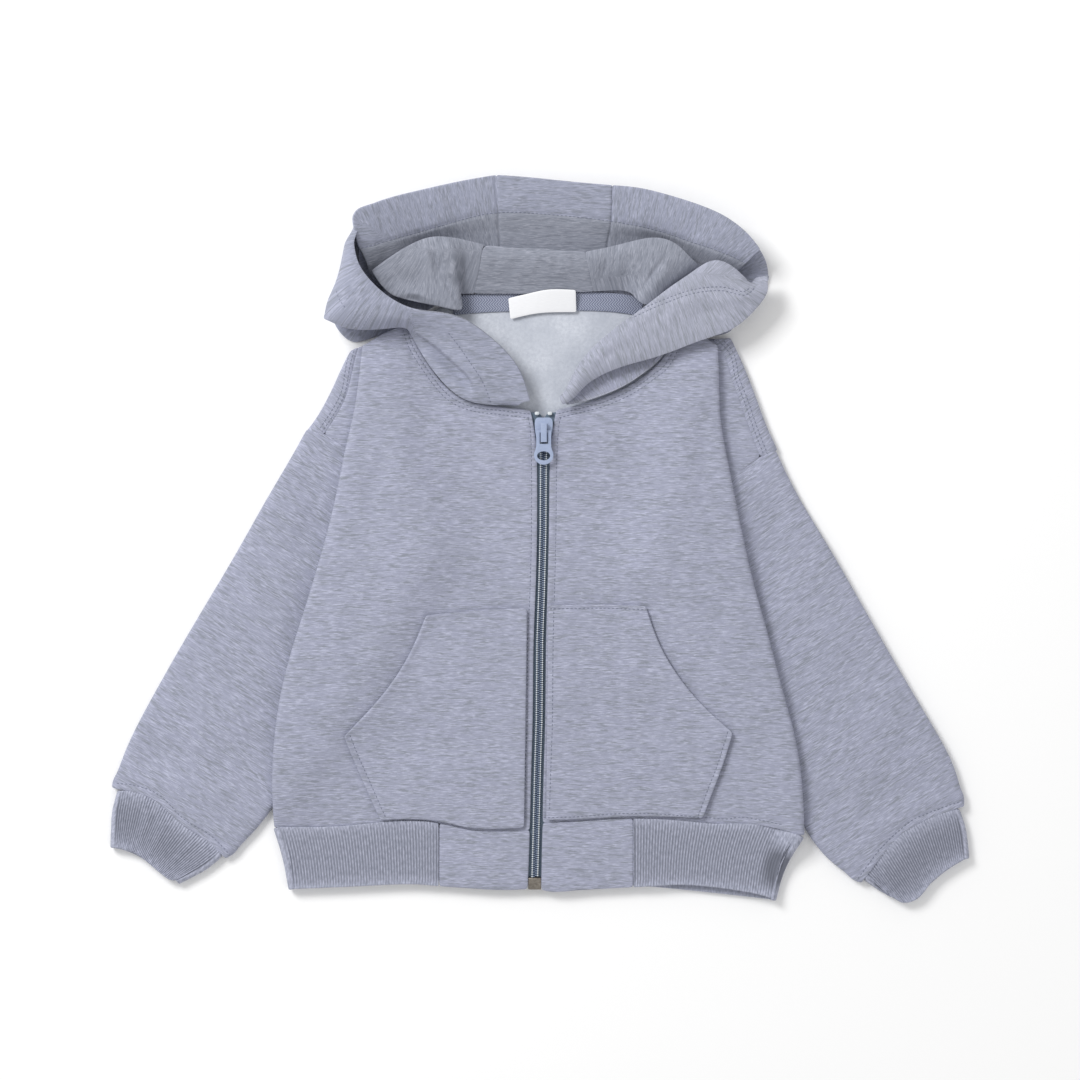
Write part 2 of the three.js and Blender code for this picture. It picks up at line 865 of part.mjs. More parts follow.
for (const [name, sleeve] of Object.entries(SLEEVES)) {
  const flat = patch(
    along(sleeve.armhole, SLEEVE_COLUMNS),
    along(sleeve.cuffSeam, SLEEVE_COLUMNS),
    along(sleeve.outer, SLEEVE_ROWS),
    along(sleeve.inner, SLEEVE_ROWS),
  );
  const upper = insetSides(flat, SLEEVE_RISE / 2 + CLOTH / 2);
  upper.forEach((row, j) =>
    row.forEach((p, i) => {
      p.setZ(sleeveHeight(sleeve.half, p, i / SLEEVE_COLUMNS, j / SLEEVE_ROWS));
    }),
  );
  const tube = flatTube(upper, CLOTH / 2, SLEEVE_UNDER_STEPS);
  addMesh(`sleeve_${name}`, wall(tube, -CLOTH / 2, CLOTH / 2, true), finish(HEATHER));

  const columns = 2 * Math.round(spline(sleeve.cuffSeam).getLength() / RIB_PITCH);
  const sleeveEnd = flat[SLEEVE_ROWS];
  const inward = (p) => p.clone().setY(p.y - CUFF_GAP);
  const cuffFlat = patch(
    alongChain(sleeveEnd, columns).map(inward),
    along(sleeve.cuffEnd, columns),
    along(sleeve.cuffOuter, CUFF_ROWS).map((p, k) => (k ? p : inward(p))),
    along(sleeve.cuffInner, CUFF_ROWS).map((p, k) => (k ? p : inward(p))),
  );
  const cuffUpper = insetSides(cuffFlat, CUFF_RISE / 2 + RIBBING / 2);
  cuffUpper.forEach((row) => row.forEach((p) => p.setZ(RIBBING / 2 + CUFF_RISE)));
  const cuffTube = flatTube(cuffUpper, RIBBING / 2, SLEEVE_UNDER_STEPS);
  const up = topFacesUp(cuffTube, 0, 10);
  const ring = up ? cuffTube : mirrored(cuffTube);
  const lastPoint = cuffTube[0].length - 1;
  const relief = (j, i) => {
    const k = up ? i : lastPoint - i;
    return RIBBING / 2 - (k <= columns && k % 2 ? RIB_DEPTH : 0);
  };
  addMesh(`cuff_${name}`, wall(ring, -RIBBING / 2, relief, true), finish(RIB_GREY));
}

// Dropped shoulders

const SHOULDER_TUBE_STEPS = 3;
// from the shoulder's top to the armhole: outer fold x, y | shoulder seam x, y |
// below the back x, y | end below the back x, y | end below the front x, y
const SHOULDERS = {
  left: [
    [-132.5, 131.5, -127, 134.5, -110, 141, -95, 146, -116, 137],
    [-139.5, 118, -130.5, 121.5, -110, 120, -94, 122, -116.5, 115],
    [-146.5, 102.5, -134, 102.5, -110, 97, -93, 97.5, -120, 92],
    [-156, 84.5, -141, 88.5, -113, 75, -88, 69.5, -124, 74],
    [-163.5, 76, -150.5, 74.3, -111, 52, -80, 20, -125.5, 59],
  ],
  right: [
    [134.5, 141, 121, 140, 110, 142, 95, 146, 115, 137],
    [141, 126.5, 131, 128.5, 111, 122, 94, 122, 115, 118.5],
    [147.5, 111.5, 134.5, 112.5, 112, 100, 93, 97.5, 116.5, 97.5],
    [155, 90, 141, 95.5, 113, 75, 88.5, 62.5, 120.5, 73],
    [160.5, 76, 147.5, 76.5, 114, 55, 85, 38, 124, 55.5],
    [167, 63.5, 154.5, 58.5, 112, 31, 85, 6, 127.5, 38.5],
  ],
};

for (const [name, stations] of Object.entries(SHOULDERS)) {
  const half = name === "left" ? LEFT : RIGHT;
  const top = CLOTH / 2 + SLEEVE_RISE;
  const inset = SLEEVE_RISE / 2 + CLOTH / 2;
  const frontRows = [];
  const backRows = [];
  for (const [outX, outY, seamX, seamY, midX, midY, backX, backY, frontX, frontY] of stations) {
    const outer = new THREE.Vector3(outX, outY, top);
    const seam = new THREE.Vector3(seamX, seamY, top);
    const gap = half.side * (SEAM_GAP / 2);
    const away = outer.clone().sub(seam).normalize();
    const edge = outer.clone().addScaledVector(away, -inset);
    const nearSeam = seam.clone().setX(seam.x + gap);
    if (edge.distanceTo(outer) > nearSeam.distanceTo(outer)) edge.copy(nearSeam.clone().lerp(outer, 0.3));
    const radius = SLEEVE_RISE / 2;
    const fold = foldRound(edge, away, radius, SHOULDER_TUBE_STEPS);
    const hidden = new THREE.Vector3(backX, backY, CLOTH / 2);
    const belowSeam = seam.clone().setZ(CLOTH / 2);
    const below = new THREE.Vector3(midX, midY, CLOTH / 2);
    backRows.push([nearSeam, edge, ...fold, belowSeam, below, hidden]);
    const inner = new THREE.Vector3(frontX, frontY, top);
    const seamFront = seam.clone().setX(seam.x - gap);
    frontRows.push([seamFront, seamFront.clone().lerp(inner, 0.5), inner]);
  }
  const back = wall(backRows, -CLOTH / 2, CLOTH / 2);
  addMesh(`back_shoulder_${name}`, back, finish(HEATHER));
  addMesh(`front_shoulder_${name}`, wall(frontRows, -CLOTH / 2, CLOTH / 2), finish(HEATHER));
}

// Hood, outside

// The left side of the hood leans over the neck and shows its outer cloth.
// x, y, z of: opening edge | middle of the hem band | neck side | fold or neck seam | end below
const HOOD_LEFT = [
  [-128, 221.5, 30, -129.5, 219.5, 29, -130.5, 216.5, 26, -131, 213.5, 20, -128.5, 212, 10.6],
  [-130, 206, 36, -131, 205.5, 37, -132.5, 204, 34, -133.5, 202, 25, -128.5, 198.5, 6.6],
  [-126.5, 192, 38, -130, 190, 39, -134, 188, 35, -137, 186, 24, -128.5, 183, 5.4],
  [-121.5, 184, 38, -128.5, 178, 39, -137, 174, 35, -143, 170.5, 22, -131, 169, 4.6],
  [-113, 174.5, 37, -126.5, 166, 38, -140.5, 160.5, 33, -150, 157.5, 20, -135.5, 160, 4.5],
  [-102, 166, 35, -115, 158.5, 36, -128.5, 152, 31, -136, 148.5, 21, -124, 157, 4.5],
  [-89, 160, 33, -99, 155, 33, -107.5, 151.5, 28, -113, 147.5, 21, -104.5, 156, 4.5],
  [-76.5, 158, 31, -83.5, 153.5, 30, -89, 151.5, 25, -92.5, 150.5, 19, -88, 156.5, 4.5],
  [-65, 156.5, 29, -72.5, 148, 25, -79.5, 143, 19, -84.5, 138, 15, -79.5, 142.5, 4.5],
  [-51.5, 153, 27, -60.5, 139.5, 22, -70.5, 132, 15.5, -76, 123.5, 13, -71, 127.5, 4.5],
  [-39, 144.5, 24, -48.5, 125, 19, -57, 118, 13.5, -64.5, 109.5, 12, -60, 113.5, 4.5],
  [-24, 132, 20, -39, 111, 16, -47, 104.5, 13, -53.5, 100.5, 11.5, -50, 104.5, 4.5],
  [-13.5, 118, 17, -25, 107.5, 15, -32.5, 101, 13, -39, 96.5, 11.5, -36, 101, 4.5],
  [-9, 104.5, 15, -14.5, 102, 14.5, -20, 99.5, 13.5, -25, 96.5, 12, -23.5, 99.5, 4.5],
  [-7, 97.5, 14, -9.5, 97, 14, -12.5, 96.5, 13.5, -15, 95.8, 12, -14.5, 97.5, 4.5],
];
// The right side is rolled outwards and shows its lining.
// x, y, z of: neck seam | below the roll | inner side | crest | middle of the hem band | opening edge
const HOOD_RIGHT = [
  [153.5, 168.5, 7, 152, 173, 4.7, 151, 178, 10, 152, 181.5, 14, 156.5, 182.5, 18, 160.5, 184, 19.5],
  [151, 164, 7, 147.5, 169, 4.7, 144.5, 174, 13, 148, 176, 19, 153.5, 174.5, 21, 158.5, 172.5, 19.5],
  [142, 160.5, 7.5, 139, 170, 6.5, 137, 179, 15, 140.5, 182, 22.5, 145, 170.5, 23.5, 148, 159, 19.5],
  [127.5, 159, 9, 127.5, 172.5, 9, 126.5, 186.5, 16, 130.5, 191, 24.5, 132.5, 170, 25, 135, 147.5, 20],
  [118, 158, 10, 118, 172.5, 9.5, 116.5, 188, 16, 120, 193.5, 26, 120.5, 170, 26, 121.5, 142.5, 20.5],
  [108, 156.5, 9.5, 107, 169, 6, 105.5, 179, 16, 107, 184.5, 26, 107.5, 164, 26, 108, 138, 20.5],
  [96.5, 154, 10.5, 94, 161, 6.8, 90, 168.5, 16, 90, 173.5, 26, 91.5, 153.5, 25, 93, 132, 20],
  [90.5, 141, 11.5, 83.5, 145.5, 5.2, 76, 154.5, 16, 74, 160.5, 25.5, 76, 144.5, 24.5, 78, 127, 19.5],
  [86, 129, 11.5, 74, 135.5, 4.6, 62.5, 144, 15.5, 57.5, 149, 24.5, 61, 136, 24, 64, 123.5, 19],
  [73, 118, 10.5, 61, 125, 4.6, 48.5, 133.5, 15, 44, 137.5, 23.5, 48, 128.5, 23, 51.5, 119.5, 18.5],
  [60, 109, 9.5, 48, 115, 4.6, 37.5, 123, 14.5, 33, 126.5, 22, 37, 120, 22, 40, 114.5, 18],
  [44.5, 102.5, 9.5, 36, 107, 4.6, 28.5, 112.5, 14, 25, 114.5, 20.5, 27.5, 111, 20.5, 30.5, 108, 17.5],
  [31, 98.5, 11, 26, 100, 7, 22.5, 101.5, 13.5, 19.5, 102, 18.5, 21.5, 100.5, 19, 23, 100, 17],
  [19, 96, 12, 18, 97.5, 9.6, 17, 98.5, 13, 15.5, 99, 16.5, 15.5, 97, 17.5, 16, 95.5, 16.5],
];
// The outer cloth of the hood's back lies on the table below the lining.
// x, y, z of: opening edge | slope | foot | lower edge
const HOOD_BACK_LEFT = [
  [-30.5, 253, 16.8, -28.5, 228, 8.5, -27.5, 212, 1, -46, 172, 1],
  [-55.5, 248, 17.8, -52, 224, 8.5, -50, 209, 1, -58.5, 170, 1],
  [-83.5, 242, 18.8, -77.5, 217, 8.5, -74, 205, 1, -71, 165.5, 1],
  [-99, 237.5, 20.5, -94, 212, 8.5, -91, 200, 1, -83, 159.5, 1],
  [-112.5, 233.5, 22, -106, 208, 8, -102, 194, 1, -93.5, 150.5, 1],
  [-122, 228, 20, -118, 202.5, 6, -113, 184, 1, -108, 145, 1],
  [-127.5, 221, 12, -127, 200, 3, -125.5, 173, 1, -121.5, 141, 1],
  [-129.5, 213, 5, -133.5, 195, 1.5, -135.5, 168.5, 1, -131.5, 137.5, 1],
  [-130, 204, 2, -136, 188, 1.2, -142.5, 172, 1, -145, 152, 1],
];
const HOOD_BACK_CENTER = [
  [-30, 253, 16.8, -28, 228, 8.5, -27, 212, 1, -45.5, 172, 1],
  [10, 249.5, 15.8, 12, 226, 8.5, 9, 211, 1, -4, 173, 1],
  [50.5, 246.5, 15.8, 50, 222, 8.5, 46, 209, 1, 37.5, 173, 1],
];
const HOOD_BACK_RIGHT = [
  [51, 246.5, 15.8, 50.5, 222, 8.5, 46.5, 209, 1, 38, 173, 1],
  [70.5, 244, 16.8, 69.5, 220, 8.5, 66, 208, 1, 52, 172.5, 1],
  [93, 238, 17.8, 88, 215, 8.5, 84, 205, 1, 67, 170.5, 1],
  [112.5, 231.5, 18.8, 107, 208, 8.5, 102, 198, 1, 82, 165.5, 1],
  [129, 223.5, 19, 121.5, 202, 8.5, 116, 190, 1, 99, 155.5, 1],
  [143, 212, 17, 135, 193, 6, 128, 178, 1, 111.5, 146, 1],
  [154, 203, 12, 147, 184, 3, 139, 168.5, 1, 122, 143.5, 1],
  [159, 193, 5, 154, 176, 1.3, 145.5, 164, 1, 132, 145, 1],
  [160, 184, 2, 156, 171, 1.1, 149, 161.5, 1, 136.5, 150, 1],
];

const PLY_NEAR = PLY_GAP / 2;
const PLY_FAR = PLY_GAP / 2 + PLY;
const HOOD_FRONT_COLUMNS = 20;
const HOOD_BACK_COLUMNS = 10;
const HOOD_CENTER_COLUMNS = 4;
const HOOD_STEPS = 2; // steps from one point of a section to the next

const hoodLeft = loft(HOOD_LEFT, HOOD_FRONT_COLUMNS, HOOD_STEPS);
const leftSign = gridNormal(hoodLeft, 12, 2, false).z > 0 ? 1 : -1;
addMesh("hood_left", wall(hoodLeft, leftSign * PLY_NEAR, leftSign * PLY_FAR), finish(HEATHER));
addMesh(
  "hood_lining_left_front",
  wall(hoodLeft, -leftSign * PLY_NEAR, -leftSign * PLY_FAR),
  finish(HEATHER_SHADE),
);

const hoodRight = loft(HOOD_RIGHT, HOOD_FRONT_COLUMNS, HOOD_STEPS);
const rightSign = gridNormal(hoodRight, 10, 8, false).z > 0 ? 1 : -1;
addMesh("hood_right", wall(hoodRight, -rightSign * PLY_NEAR, -rightSign * PLY_FAR), finish(HEATHER));
addMesh(
  "hood_lining_right_front",
  wall(hoodRight, rightSign * PLY_NEAR, rightSign * PLY_FAR),
  finish(HEATHER_SHADE),
);

// One ply through stations; no part of it sinks into the table.
function ply(stations, columns) {
  const grid = loft(stations, columns, HOOD_STEPS);
  grid.forEach((row) => row.forEach((p) => p.setZ(Math.max(p.z, PLY / 2))));
  return wall(grid, -PLY / 2, PLY / 2);
}

addMesh("hood_back_left", ply(HOOD_BACK_LEFT, HOOD_BACK_COLUMNS), finish(HEATHER));
addMesh("hood_center", ply(HOOD_BACK_CENTER, HOOD_CENTER_COLUMNS), finish(HEATHER));
addMesh("hood_back_right", ply(HOOD_BACK_RIGHT, HOOD_BACK_COLUMNS), finish(HEATHER));

// Hood, lining

// The lining comes down from the opening edge, tucks below a roll and ends at the back neck seam.
// x, y, z of: opening edge | hem stitching | foot | tuck | ridge of the roll | its slope | neck seam
const LINING_LEFT = [
  [-30, 253.5, 19, -28.5, 228, 13, -27.5, 209.5, 5.5, -29.3, 197, 4.5, -39.3, 205, 16,
    -41.8, 192, 13, -46, 173, 5],
  [-55.5, 249, 20, -52, 223.5, 13, -48.5, 212.5, 6, -47, 201, 4.5, -50, 207.5, 17.5,
    -51.5, 194, 14, -54, 173, 5],
  [-83.5, 242.5, 21, -77.5, 217, 14, -69.5, 212.5, 9, -65.5, 202.5, 5, -61, 209.5, 20,
    -57.5, 194, 17, -57.5, 173, 6],
  [-99, 238.5, 23, -94, 212, 15, -85, 207.5, 9, -76.5, 198.5, 5.5, -76, 210, 21,
    -65.5, 188.5, 19, -53.5, 160, 14],
  [-112.5, 234, 25, -106, 208.5, 17, -96, 200, 10, -87, 188.5, 6, -89, 205, 20,
    -78, 185, 17, -65.5, 162, 16],
  [-123.5, 228, 27, -116, 205, 20, -109.5, 194, 11, -101, 181.5, 6, -103, 196.5, 19,
    -95, 181.5, 17, -85, 166, 17],
  [-126, 222, 27, -122, 202.5, 22, -119.5, 190, 14, -114, 178, 8, -116, 187, 18,
    -110.5, 178, 17, -102, 170, 17],
];
const LINING_CENTER = [
  [-29.5, 253.5, 19, -28, 228, 13, -27, 209.5, 5.5, -28.5, 197, 4.5, -38.4, 205, 16,
    -41, 192, 13, -45.5, 173, 5],
  [-8, 252, 18.5, -6.5, 228, 12.5, -9, 208, 5, -12, 195, 4.5, -19, 202.5, 16,
    -21.5, 191, 13, -24, 173, 5],
  [12, 250, 18, 14.5, 226.5, 12.5, 9.5, 207.5, 5, 4.5, 194, 4.5, -1, 202.5, 16,
    -2, 190, 13, -3, 173, 5],
  [32, 248, 18, 32.5, 224.5, 12.5, 28.5, 207.5, 5, 23, 194, 4.5, 16.5, 200.5, 16,
    16.5, 188.5, 12.5, 17, 174, 5],
  [50.5, 246.5, 18, 50, 222, 12.5, 46.5, 207.5, 5, 41, 194, 4.5, 32, 200, 15.5,
    34.5, 188.5, 12.5, 37.5, 174.5, 5],
];
const LINING_RIGHT = [
  [51, 246.5, 18, 50.5, 222, 12.5, 47, 207.5, 5, 41.5, 194, 4.5, 32.5, 200, 15.5,
    35, 188.5, 12.5, 38, 174.5, 5],
  [70.5, 244.5, 19, 69, 219.5, 13, 67.5, 211, 6.5, 63.5, 198, 4.5, 51, 203.5, 17,
    51, 190, 14, 50, 175.5, 5],
  [93, 238.5, 20, 87, 215, 14, 84.5, 211, 9, 79, 198.5, 5, 69, 208, 19,
    66, 191.5, 16, 63.5, 174.5, 6],
  [112.5, 232, 21, 104.5, 208, 15, 99, 204, 10, 90, 191.5, 6, 83, 209.5, 21,
    76, 187, 18, 69, 167.5, 14],
  [129, 224.5, 22, 119.5, 202.5, 16, 113, 196.5, 10, 105.5, 184.5, 6, 95.5, 205, 21,
    86.5, 183, 18, 75, 163.5, 14],
  [144, 213, 22, 132, 197.5, 16, 124, 190, 9, 116.5, 180, 6, 105.5, 195, 18,
    98.5, 184, 15.5, 90.5, 175, 13.5],
  [153, 202, 20, 142, 192, 14, 135.5, 186, 8, 127.5, 180, 6, 116, 190, 12,
    112, 186, 11, 108, 181, 9],
];

const lining = [
  ["hood_lining_left", LINING_LEFT, 11],
  ["hood_lining_center", LINING_CENTER, 7],
  ["hood_lining_right", LINING_RIGHT, 11],
];
for (const [name, stations, columns] of lining) {
  addMesh(name, ply(stations, columns), finish(HEATHER_SHADE));
}

// Neck tape and label

// x | y of the tape's upper edge
const TAPE_EDGE = [
  [-60, 170.5],
  [-45, 172],
  [-3, 173.5],
  [38, 173.5],
  [55, 172.5],
  [72, 169.5],
];
const TAPE_WIDTH = 12.5;
const TAPE_STEPS = 12;
const TAPE_BOTTOM = CLOTH + SEAM_GAP;
const tapeTop = along(TAPE_EDGE, TAPE_STEPS);
const tapeGrid = [0, 1].map((k) =>
  tapeTop.map((p) => new THREE.Vector3(p.x, p.y - k * TAPE_WIDTH, TAPE_BOTTOM + TAPE_THICKNESS / 2)),
);
addMesh(
  "neck_tape",
  wall(tapeGrid, -TAPE_THICKNESS / 2, TAPE_THICKNESS / 2),
  finish(TAPE_GREY),
);

// Corners and middle of the label's edges, rising over the hood's neck edge: x | y | z
const LABEL_TOP = [
  [-21.5, 169, 4.6],
  [-8, 172, 6.2],
  [6.5, 175, 8],
  [25, 174.5, 8],
];
const LABEL_BOTTOM = [
  [-20, 155, 4.4],
  [-8, 158, 4.6],
  [1, 159.5, 4.7],
  [25.5, 160, 4.6],
];
const LABEL_STEPS = 6;
const LABEL_ROWS = 2;
const labelTop = along(LABEL_TOP, LABEL_STEPS);
const labelBottom = along(LABEL_BOTTOM, LABEL_STEPS);
const labelGrid = patch(
  labelTop,
  labelBottom,
  along([LABEL_TOP[0], LABEL_BOTTOM[0]], LABEL_ROWS),
  along([LABEL_TOP[3], LABEL_BOTTOM[3]], LABEL_ROWS),
);
addMesh("label", wall(labelGrid, -LABEL_THICKNESS / 2, LABEL_THICKNESS / 2), finish(LABEL_WHITE));

// Zip

const ZIP_TOP_Y = 89;
const ZIP_BOTTOM_Y = -235.8;
const CLOSED_ROWS = 12; // sections of the closed part
const COIL_CLEARANCE = 0.15;
const CLOSED_OFFSET = COIL_WIDTH / 2 + COIL_CLEARANCE; // middle of a coil row from the zip's middle
const SLIDER_OFFSET = 2.4; // the same where the rows leave the slider
const OPEN_OFFSET = 4.6; // and at the top stops
const PARTING_Y = 76; // the rows part here, inside the slider
const STOP_LENGTH = 2;
const STOP_HEIGHT = 2.6;
const STOP_Y = 88.5;

const zipMiddle = (y) => (zipEdgeX(LEFT, y) + zipEdgeX(RIGHT, y)) / 2;

function coilOffset(y) {
  const inSlider = mix(CLOSED_OFFSET, SLIDER_OFFSET, smooth((y - PARTING_Y) / (SLIDER_TOP_Y - PARTING_Y)));
  return mix(inSlider, OPEN_OFFSET, smooth((y - SLIDER_TOP_Y) / (ZIP_TOP_Y - SLIDER_TOP_Y)));
}

const zipRows = [
  ...Array.from({ length: CLOSED_ROWS + 1 }, (_, k) =>
    mix(ZIP_BOTTOM_Y, SLIDER_BOTTOM_Y, k / CLOSED_ROWS),
  ),
  PARTING_Y,
  mix(PARTING_Y, SLIDER_TOP_Y, 0.5),
  SLIDER_TOP_Y,
  mix(SLIDER_TOP_Y, ZIP_TOP_Y, 0.5),
  ZIP_TOP_Y,
];

function zipStrip(from, to, z) {
  return zipRows.map((y) => [from(y), to(y)].map((x) => new THREE.Vector3(x, y, z)));
}

for (const [name, half] of Object.entries({ left: LEFT, right: RIGHT })) {
  const inner = (y) => zipMiddle(y) + half.side * (coilOffset(y) - CLOSED_OFFSET + COIL_CLEARANCE);
  const outer = (y) => zipEdgeX(half, y) + half.side * ZIP_TAPE_HIDDEN;
  const tape = wall(
    zipStrip(inner, outer, ZIP_TAPE_HEIGHT),
    -ZIP_TAPE_THICKNESS / 2,
    ZIP_TAPE_THICKNESS / 2,
  );
  addMesh(`zip_tape_${name}`, tape, finish(ZIP_GREY, 0.8));
  const coilFrom = (y) => zipMiddle(y) + half.side * (coilOffset(y) - COIL_WIDTH / 2);
  const coilTo = (y) => zipMiddle(y) + half.side * (coilOffset(y) + COIL_WIDTH / 2);
  const coil = wall(
    zipStrip(coilFrom, coilTo, COIL_BOTTOM + COIL_HEIGHT / 2).slice(0, -1),
    -COIL_HEIGHT / 2,
    COIL_HEIGHT / 2,
  );
  addMesh(`zip_coil_${name}`, coil, finish(ZIP_GREY, 0.5));
  const stop = new THREE.BoxGeometry(COIL_WIDTH, STOP_LENGTH, STOP_HEIGHT);
  const stopX = zipMiddle(STOP_Y) + half.side * coilOffset(STOP_Y);
  stop.translate(stopX, STOP_Y, COIL_BOTTOM + STOP_HEIGHT / 2);
  addMesh(`zip_stop_${name}`, stop, finish(LABEL_WHITE, 0.4));
}

// Box of the zip's bottom end
const BOX_WIDTH = 9;
const BOX_LENGTH = 8.4;
const BOX_HEIGHT = 4.6;
const BOX_BOTTOM = 3.3;
const boxY = ZIP_BOTTOM_Y - SEAM_GAP - BOX_LENGTH / 2;
const box = new THREE.BoxGeometry(BOX_WIDTH, BOX_LENGTH, BOX_HEIGHT);
box.translate(zipMiddle(boxY), boxY, BOX_BOTTOM + BOX_HEIGHT / 2);
addMesh("zip_box", box, finish(PEWTER, 0.35, 0.8));

// Slider and pull

const wasm = await Module();
wasm.setup();

function toSolid(geometry) {
  const plain = new THREE.BufferGeometry();
  plain.setAttribute("position", geometry.getAttribute("position"));
  if (geometry.index) plain.setIndex(geometry.index);
  const flatPoints = plain.index ? plain.toNonIndexed() : plain;
  const triVerts = Uint32Array.from({ length: flatPoints.attributes.position.count }, (_, k) => k);
  const mesh = new wasm.Mesh({
    numProp: 3,
    vertProperties: new Float32Array(flatPoints.attributes.position.array),
    triVerts,
  });
  mesh.merge();
  return new wasm.Manifold(mesh);
}

function toGeometry(solid) {
  const mesh = solid.getMesh();
  const geometry = new THREE.BufferGeometry();
  geometry.setAttribute("position", new THREE.BufferAttribute(mesh.vertProperties, 3));
  geometry.setIndex(new THREE.BufferAttribute(mesh.triVerts, 1));
  const faceted = geometry.toNonIndexed();
  faceted.computeVertexNormals();
  return faceted;
}

const joined = (geometries) =>
  toGeometry(geometries.map(toSolid).reduce((whole, piece) => whole.add(piece)));

// Plate of an outline, from a height up by a thickness.
function plate(outline, z, thickness) {
  const geometry = new THREE.ExtrudeGeometry(outline, {
    depth: thickness,
    bevelEnabled: false,
    curveSegments: 8,
  });
  return geometry.translate(0, 0, z);
}

const block = (width, length, height, x, y, z) =>
  new THREE.BoxGeometry(width, length, height).translate(x, y, z);

// Shield-shaped slider seen from above, y from the hinge.
function sliderOutline({ halfTop, halfBottom }) {
  const top = SLIDER_TOP_Y - HINGE_Y;
  const bottom = SLIDER_BOTTOM_Y - HINGE_Y;
  const cornerY = top - 4;
  const cornerX = halfTop - 3;
  const shape = new THREE.Shape();
  shape.moveTo(-halfBottom, bottom);
  shape.lineTo(halfBottom, bottom);
  shape.quadraticCurveTo(halfTop, 0, halfTop, cornerY);
  shape.quadraticCurveTo(halfTop, top, cornerX, top);
  shape.lineTo(-cornerX, top);
  shape.quadraticCurveTo(-halfTop, top, -halfTop, cornerY);
  shape.quadraticCurveTo(-halfTop, 0, -halfBottom, bottom);
  return shape;
}

const UPPER_PLATE = { halfTop: 6.3, halfBottom: 4.6, z: 8.9, thickness: 1.5 };
const LOWER_PLATE = { halfTop: 5.4, halfBottom: 4.2, z: 2.7, thickness: 1 };
const PLATE_TOP = UPPER_PLATE.z + UPPER_PLATE.thickness;
const WEDGE_WIDTH = 1.1; // the wedge between the parted coil rows joins the two plates
const WEDGE_LENGTH = 4;
const WEDGE_HEIGHT = 7.2;
const WEDGE_MIDDLE_Z = 6.65;
const RIM_WIDTH = 0.8; // turned-down rims of the upper plate
const RIM_LENGTH = 7;
const RIM_HEIGHT = 3.2;
const RIM_X = 4.5;
const RIM_Y = -2;
const BAIL_WIDTH = 4.2;
const BAIL_THICKNESS = 1.2;
const BAIL_ROOM = 1.5; // room for the tab below the bail
const BAIL_FRONT = 5.8;
const BAIL_BACK = -7.4;
const FOOT_SINK = 0.6; // how deep the bail's feet go into the plate
const bailLength = BAIL_FRONT - BAIL_BACK;
const bailMiddle = (BAIL_FRONT + BAIL_BACK) / 2;
const bailTop = HINGE_Z + BAIL_ROOM + BAIL_THICKNESS;
const footHeight = bailTop - PLATE_TOP + FOOT_SINK;
const footZ = bailTop - footHeight / 2;
const wedgeY = SLIDER_TOP_Y - HINGE_Y - WEDGE_LENGTH / 2 - 0.1;
const frontFootY = BAIL_FRONT - BAIL_THICKNESS / 2;
const backFootY = BAIL_BACK + BAIL_THICKNESS / 2;
const rimZ = PLATE_TOP - 3;

const slider = joined([
  plate(sliderOutline(UPPER_PLATE), UPPER_PLATE.z, UPPER_PLATE.thickness),
  plate(sliderOutline(LOWER_PLATE), LOWER_PLATE.z, LOWER_PLATE.thickness),
  block(WEDGE_WIDTH, WEDGE_LENGTH, WEDGE_HEIGHT, 0, wedgeY, WEDGE_MIDDLE_Z),
  block(RIM_WIDTH, RIM_LENGTH, RIM_HEIGHT, -RIM_X, RIM_Y, rimZ),
  block(RIM_WIDTH, RIM_LENGTH, RIM_HEIGHT, RIM_X, RIM_Y, rimZ),
  block(BAIL_WIDTH, bailLength, BAIL_THICKNESS, 0, bailMiddle, bailTop - BAIL_THICKNESS / 2),
  block(BAIL_WIDTH, BAIL_THICKNESS, footHeight, 0, frontFootY, footZ),
  block(BAIL_WIDTH, BAIL_THICKNESS, footHeight, 0, backFootY, footZ),
]);
slider.translate(zipMiddle(HINGE_Y), HINGE_Y, 0);
addMesh("zip_slider", slider, finish(PULL_BLUE, 0.45, 0.1));

// Pull tab: a slot for the bail below the hinge bar and a round eye near the end.
// Half widths, and distances down from the hinge.
const BAR_HALF = 0.8; // the hinge bar's half thickness
const TAB_HALF = 5.2;
const SLOT_HALF = 2.8;
const SLOT_END = 8.6;
const NECK_END = 9; // straight sides down to here
const FLARE_Y = 12;
const RING_Y = 16.4;
const RING_RADIUS = 6.8;
const RING_MEET = 0.2; // angle above level at which the sides meet the ring
const EYE_Y = 17;
const EYE_HALF_WIDTH = 4.6;
const EYE_HALF_LENGTH = 3.2;
const EYE_FACETS = 16;

